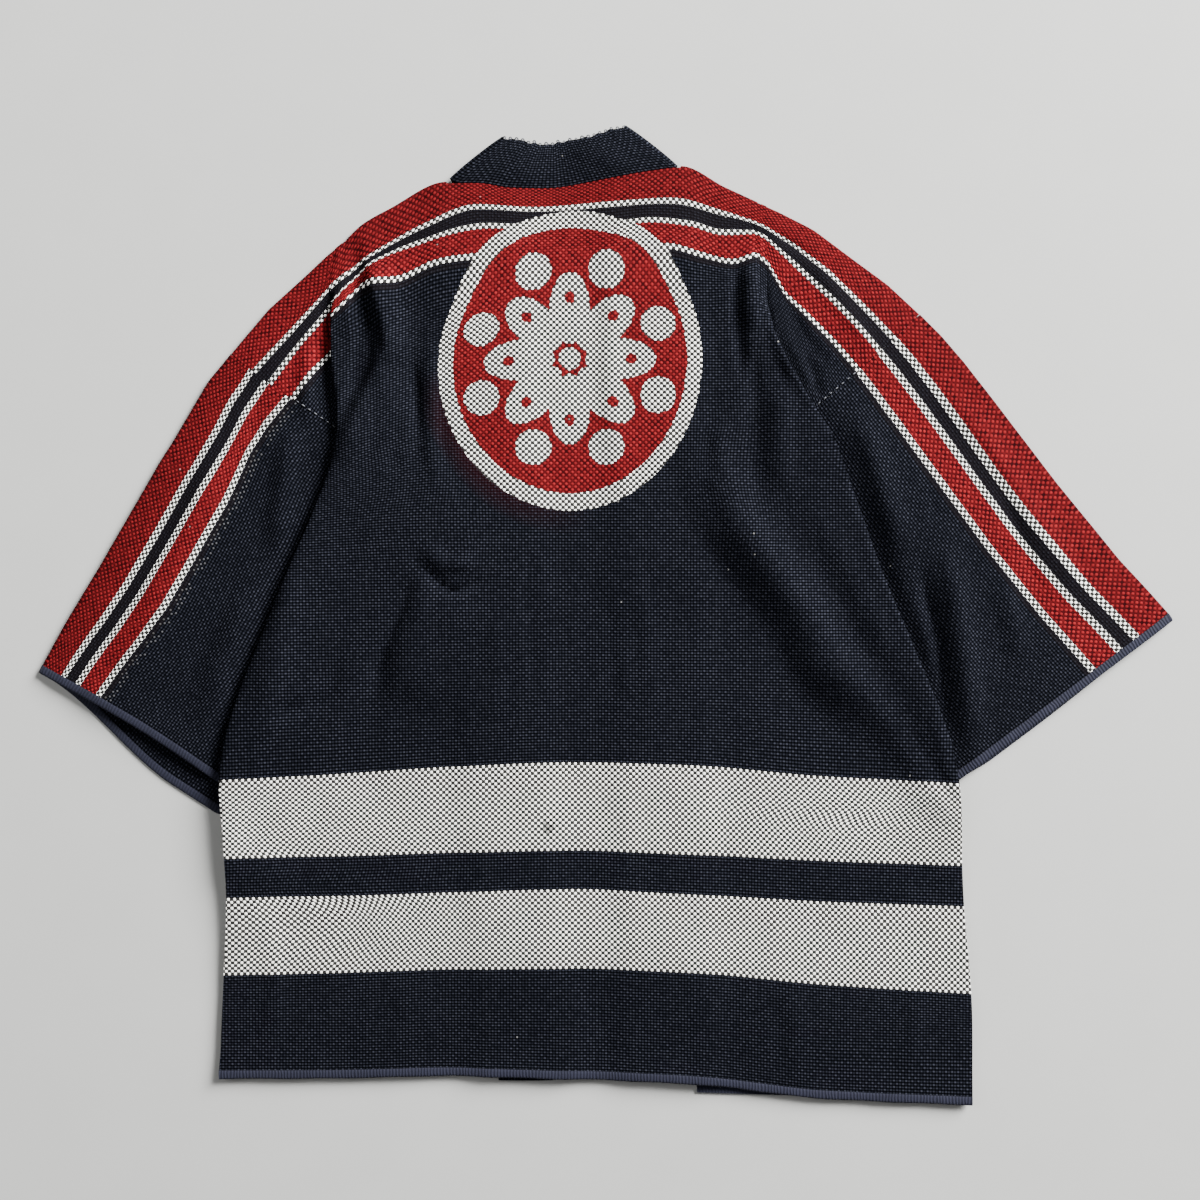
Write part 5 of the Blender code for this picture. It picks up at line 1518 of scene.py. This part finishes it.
def upper_surface(side, places, above):
    """Places on the yoke and sleeve, set on top of the cloth."""
    places = np.asarray(places, dtype=float)
    x, y = places[:, 0], places[:, 1]
    bumps = settled(relief(x, y) + pillow(SLEEVE_DEPTH)) * outside_pleat(side, x, y)
    height = TOP_LAYER + lift(side, x, y) + bumps + cloth_thickness() / 2 + above
    return np.concatenate([places, height[:, None]], axis=1)


# ---------------------------------------------------------------- operators
def finish_piece(piece, slot, *nodes):
    """Carry a piece on the coat's body and let it stand for its cut pieces."""
    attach(piece, "root")
    if nodes:
        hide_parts(*nodes)
    return piece


class COAT_OT_back(bpy.types.Operator):
    """Lay the back: one cloth from the shoulder folds to the hem, pleated down each side"""

    bl_idname = "coat.back"
    bl_label = "Back"

    def execute(self, context):
        grid, flat, cells, thin = fine_back()
        piece = shell("happi_back", cloth_materials("back"), grid, flat, cloth_thickness() * thin, cells)
        finish_piece(piece, "sashiko_navy", "back_panel")
        return {"FINISHED"}


class COAT_OT_sleeves(bpy.types.Operator):
    """Lay the two sleeves, each folded round and open at the armhole and the cuff"""

    bl_idname = "coat.sleeves"
    bl_label = "Sleeves"

    def execute(self, context):
        for side in SIDES:
            piece = sleeve_shell(side, cloth_materials("striped"))
            finish_piece(piece, "sashiko_navy", f"sleeve_{SIDE_NAMES[side]}")
        return {"FINISHED"}


class COAT_OT_collar(bpy.types.Operator):
    """Lay the doubled collar band up one front, round the neck and down the other"""

    bl_idname = "coat.collar"
    bl_label = "Collar"

    def execute(self, context):
        grid, flat, thick = collar_sheet()
        piece = shell("happi_collar", [weave("plain")], grid, flat, thick)
        finish_piece(piece, "sashiko_navy", "collar_band")
        return {"FINISHED"}


class COAT_OT_fronts(bpy.types.Operator):
    """Lay the two fronts and their hem tapes, flat under the back"""

    bl_idname = "coat.fronts"
    bl_label = "Fronts"

    def execute(self, context):
        for word in SIDE_NAMES.values():
            for start, name, material, slot in (("front", "front", weave("plain"), "sashiko_navy"),
                                                ("hem_binding_front", "hem_tape", tape(), "binding_slate")):
                piece = flat_piece(f"{start}_{word}", f"happi_{name}_{word}", material)
                finish_piece(piece, slot, f"{start}_{word}")
        return {"FINISHED"}


def flat_piece(node, name, material):
    """A flat piece under the back, on its solid's outline, cut into smaller cells with flat-cut places."""
    mesh = bmesh.new()
    mesh.from_mesh(bpy.data.objects[node].data)
    bmesh.ops.remove_doubles(mesh, verts=mesh.verts, dist=1e-6)
    long = [edge for edge in mesh.edges if edge.calc_length() > 3 * FLAT_CELL]
    bmesh.ops.subdivide_edges(mesh, edges=long, cuts=2, use_grid_fill=False)
    bmesh.ops.triangulate(mesh, faces=mesh.faces)
    layer = mesh.loops.layers.uv.new("cut")
    for face in mesh.faces:
        face.material_index = 0
        for loop in face.loops:
            loop[layer].uv = (loop.vert.co.x, loop.vert.co.y + FRONT_CUT)
    data = bpy.data.meshes.new(name)
    mesh.to_mesh(data)
    mesh.free()
    data.materials.append(material)
    return placed(name, data)


class COAT_OT_tapes(bpy.types.Operator):
    """Bind the cuffs and the back's hem with folded tape"""

    bl_idname = "coat.tapes"
    bl_label = "Binding tapes"

    def execute(self, context):
        for side in SIDES:
            piece = cuff_tape(side, [tape()])
            finish_piece(piece, "binding_slate", f"cuff_binding_{SIDE_NAMES[side]}")
        piece = hem_tape([tape()])
        finish_piece(piece, "binding_slate", "hem_binding_back")
        return {"FINISHED"}


class COAT_OT_sewing(bpy.types.Operator):
    """Sew the armhole seams and the loops along the collar's edge"""

    bl_idname = "coat.sewing"
    bl_label = "Sewing"

    def execute(self, context):
        sizes, colours = context.scene.coat_sizes, context.scene.coat_colours
        thread = shared("seam thread", lambda: thread_material("seam thread", colours.thread, 0.0002))
        yarn = shared("navy yarn", lambda: thread_material("navy yarn", colours.navy_grain, 0.0003))
        routes = []
        for side in SIDES:
            holes = np.array(armhole_points(side))[len(STRIPE_ROWS) - 1:]
            places = along(holes, np.linspace(*STITCH_RUN[side], STITCH_PLACES))
            routes.append(upper_surface(side, places - np.array([side * STITCH_INSIDE, 0.0]), STITCH_ABOVE))
        piece = sew("happi_armhole_stitches", routes, "stitch", sizes.stitch_pitch, sizes.stitch_long,
                    sizes.stitch_thick, thread)
        finish_piece(piece, "sashiko_navy")
        free = collar_sheet()[0][:, -1]
        upper = free[(free[:, 2] > LOOP_HEIGHT) & (free[:, 1] > LOOP_Y)]
        piece = sew("happi_collar_loops", [upper + np.array(LOOP_OFF)], "loop", sizes.loop_pitch,
                    sizes.loop_size, sizes.stitch_thick, yarn)
        finish_piece(piece, "sashiko_navy")
        return {"FINISHED"}


class COAT_OT_stage(bpy.types.Operator):
    """Set the floor, the lights and the camera straight above the coat"""

    bl_idname = "coat.stage"
    bl_label = "Stage"

    def execute(self, context):
        scene = context.scene
        mesh = bmesh.new()
        bmesh.ops.create_grid(mesh, x_segments=4, y_segments=4, size=FLOOR_HALF)
        data = bpy.data.meshes.new("coat_floor")
        mesh.to_mesh(data)
        mesh.free()
        data.materials.append(floor_material(scene.coat_colours))
        placed("coat_floor", data)
        for name, place, size, power in LIGHTS:
            light = bpy.data.lights.new(name, "AREA")
            light.shape = "SQUARE"
            light.size = size
            light.energy = power
            lamp = placed(name, light)
            lamp.location = place
            lamp.rotation_euler = (-Vector(place)).to_track_quat("-Z", "Y").to_euler()
        world = bpy.data.worlds.new("coat_world")
        world.use_nodes = True
        back = world.node_tree.nodes["Background"]
        back.inputs["Color"].default_value = SKY
        back.inputs["Strength"].default_value = SKY_STRENGTH
        scene.world = world
        camera = bpy.data.cameras.new("coat_camera")
        camera.lens = CAMERA_LENS
        camera.sensor_width = CAMERA_FILM
        held = placed("coat_camera", camera)
        held.location = np.array(CAMERA_PLACE) + SHIFT / 1000.0
        scene.camera = held
        return {"FINISHED"}


class COAT_OT_measure(bpy.types.Operator):
    """Do nothing and finish"""

    bl_idname = "coat.measure"
    bl_label = "Measure"

    def execute(self, context):
        return {"FINISHED"}


class COAT_PT_panel(bpy.types.Panel):
    """The coat's pieces, sizes and colours"""

    bl_idname = "COAT_PT_panel"
    bl_label = "Happi coat"
    bl_space_type = "VIEW_3D"
    bl_region_type = "UI"
    bl_category = "Happi coat"

    def draw(self, context):
        for operator in OPERATORS:
            self.layout.operator(operator.bl_idname)
        for group in (context.scene.coat_sizes, context.scene.coat_colours):
            box = self.layout.box()
            for name in group.bl_rna.properties.keys():
                if name not in {"rna_type", "name"}:
                    box.prop(group, name)


OPERATORS = (COAT_OT_back, COAT_OT_sleeves, COAT_OT_collar, COAT_OT_fronts, COAT_OT_tapes, COAT_OT_sewing,
             COAT_OT_stage, COAT_OT_measure)
CLASSES = (CoatSizes, CoatColours, *OPERATORS, COAT_PT_panel)


def cut_shift():
    """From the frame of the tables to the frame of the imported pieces, in millimetres."""
    back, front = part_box("back_panel"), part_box("front_left")
    return np.array([back[0][0] * 1000.0 - BACK_LEFT, front[0][1] * 1000.0 - FRONT_HEM, 0.0])


SHIFT = cut_shift()


def register():
    """Register the coat's classes and its settings."""
    for item in CLASSES:
        bpy.utils.register_class(item)
    bpy.types.Scene.coat_sizes = PointerProperty(type=CoatSizes)
    bpy.types.Scene.coat_colours = PointerProperty(type=CoatColours)


def unregister():
    """Take the coat's classes and its settings away again."""
    del bpy.types.Scene.coat_colours
    del bpy.types.Scene.coat_sizes
    for item in reversed(CLASSES):
        bpy.utils.unregister_class(item)


def main():
    """Make every piece in order."""
    register()
    bpy.ops.coat.back()
    bpy.ops.coat.sleeves()
    bpy.ops.coat.collar()
    bpy.ops.coat.fronts()
    bpy.ops.coat.tapes()
    bpy.ops.coat.sewing()
    bpy.ops.coat.stage()
    bpy.ops.coat.measure()
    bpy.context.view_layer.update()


if __name__ == "__main__":
    main()
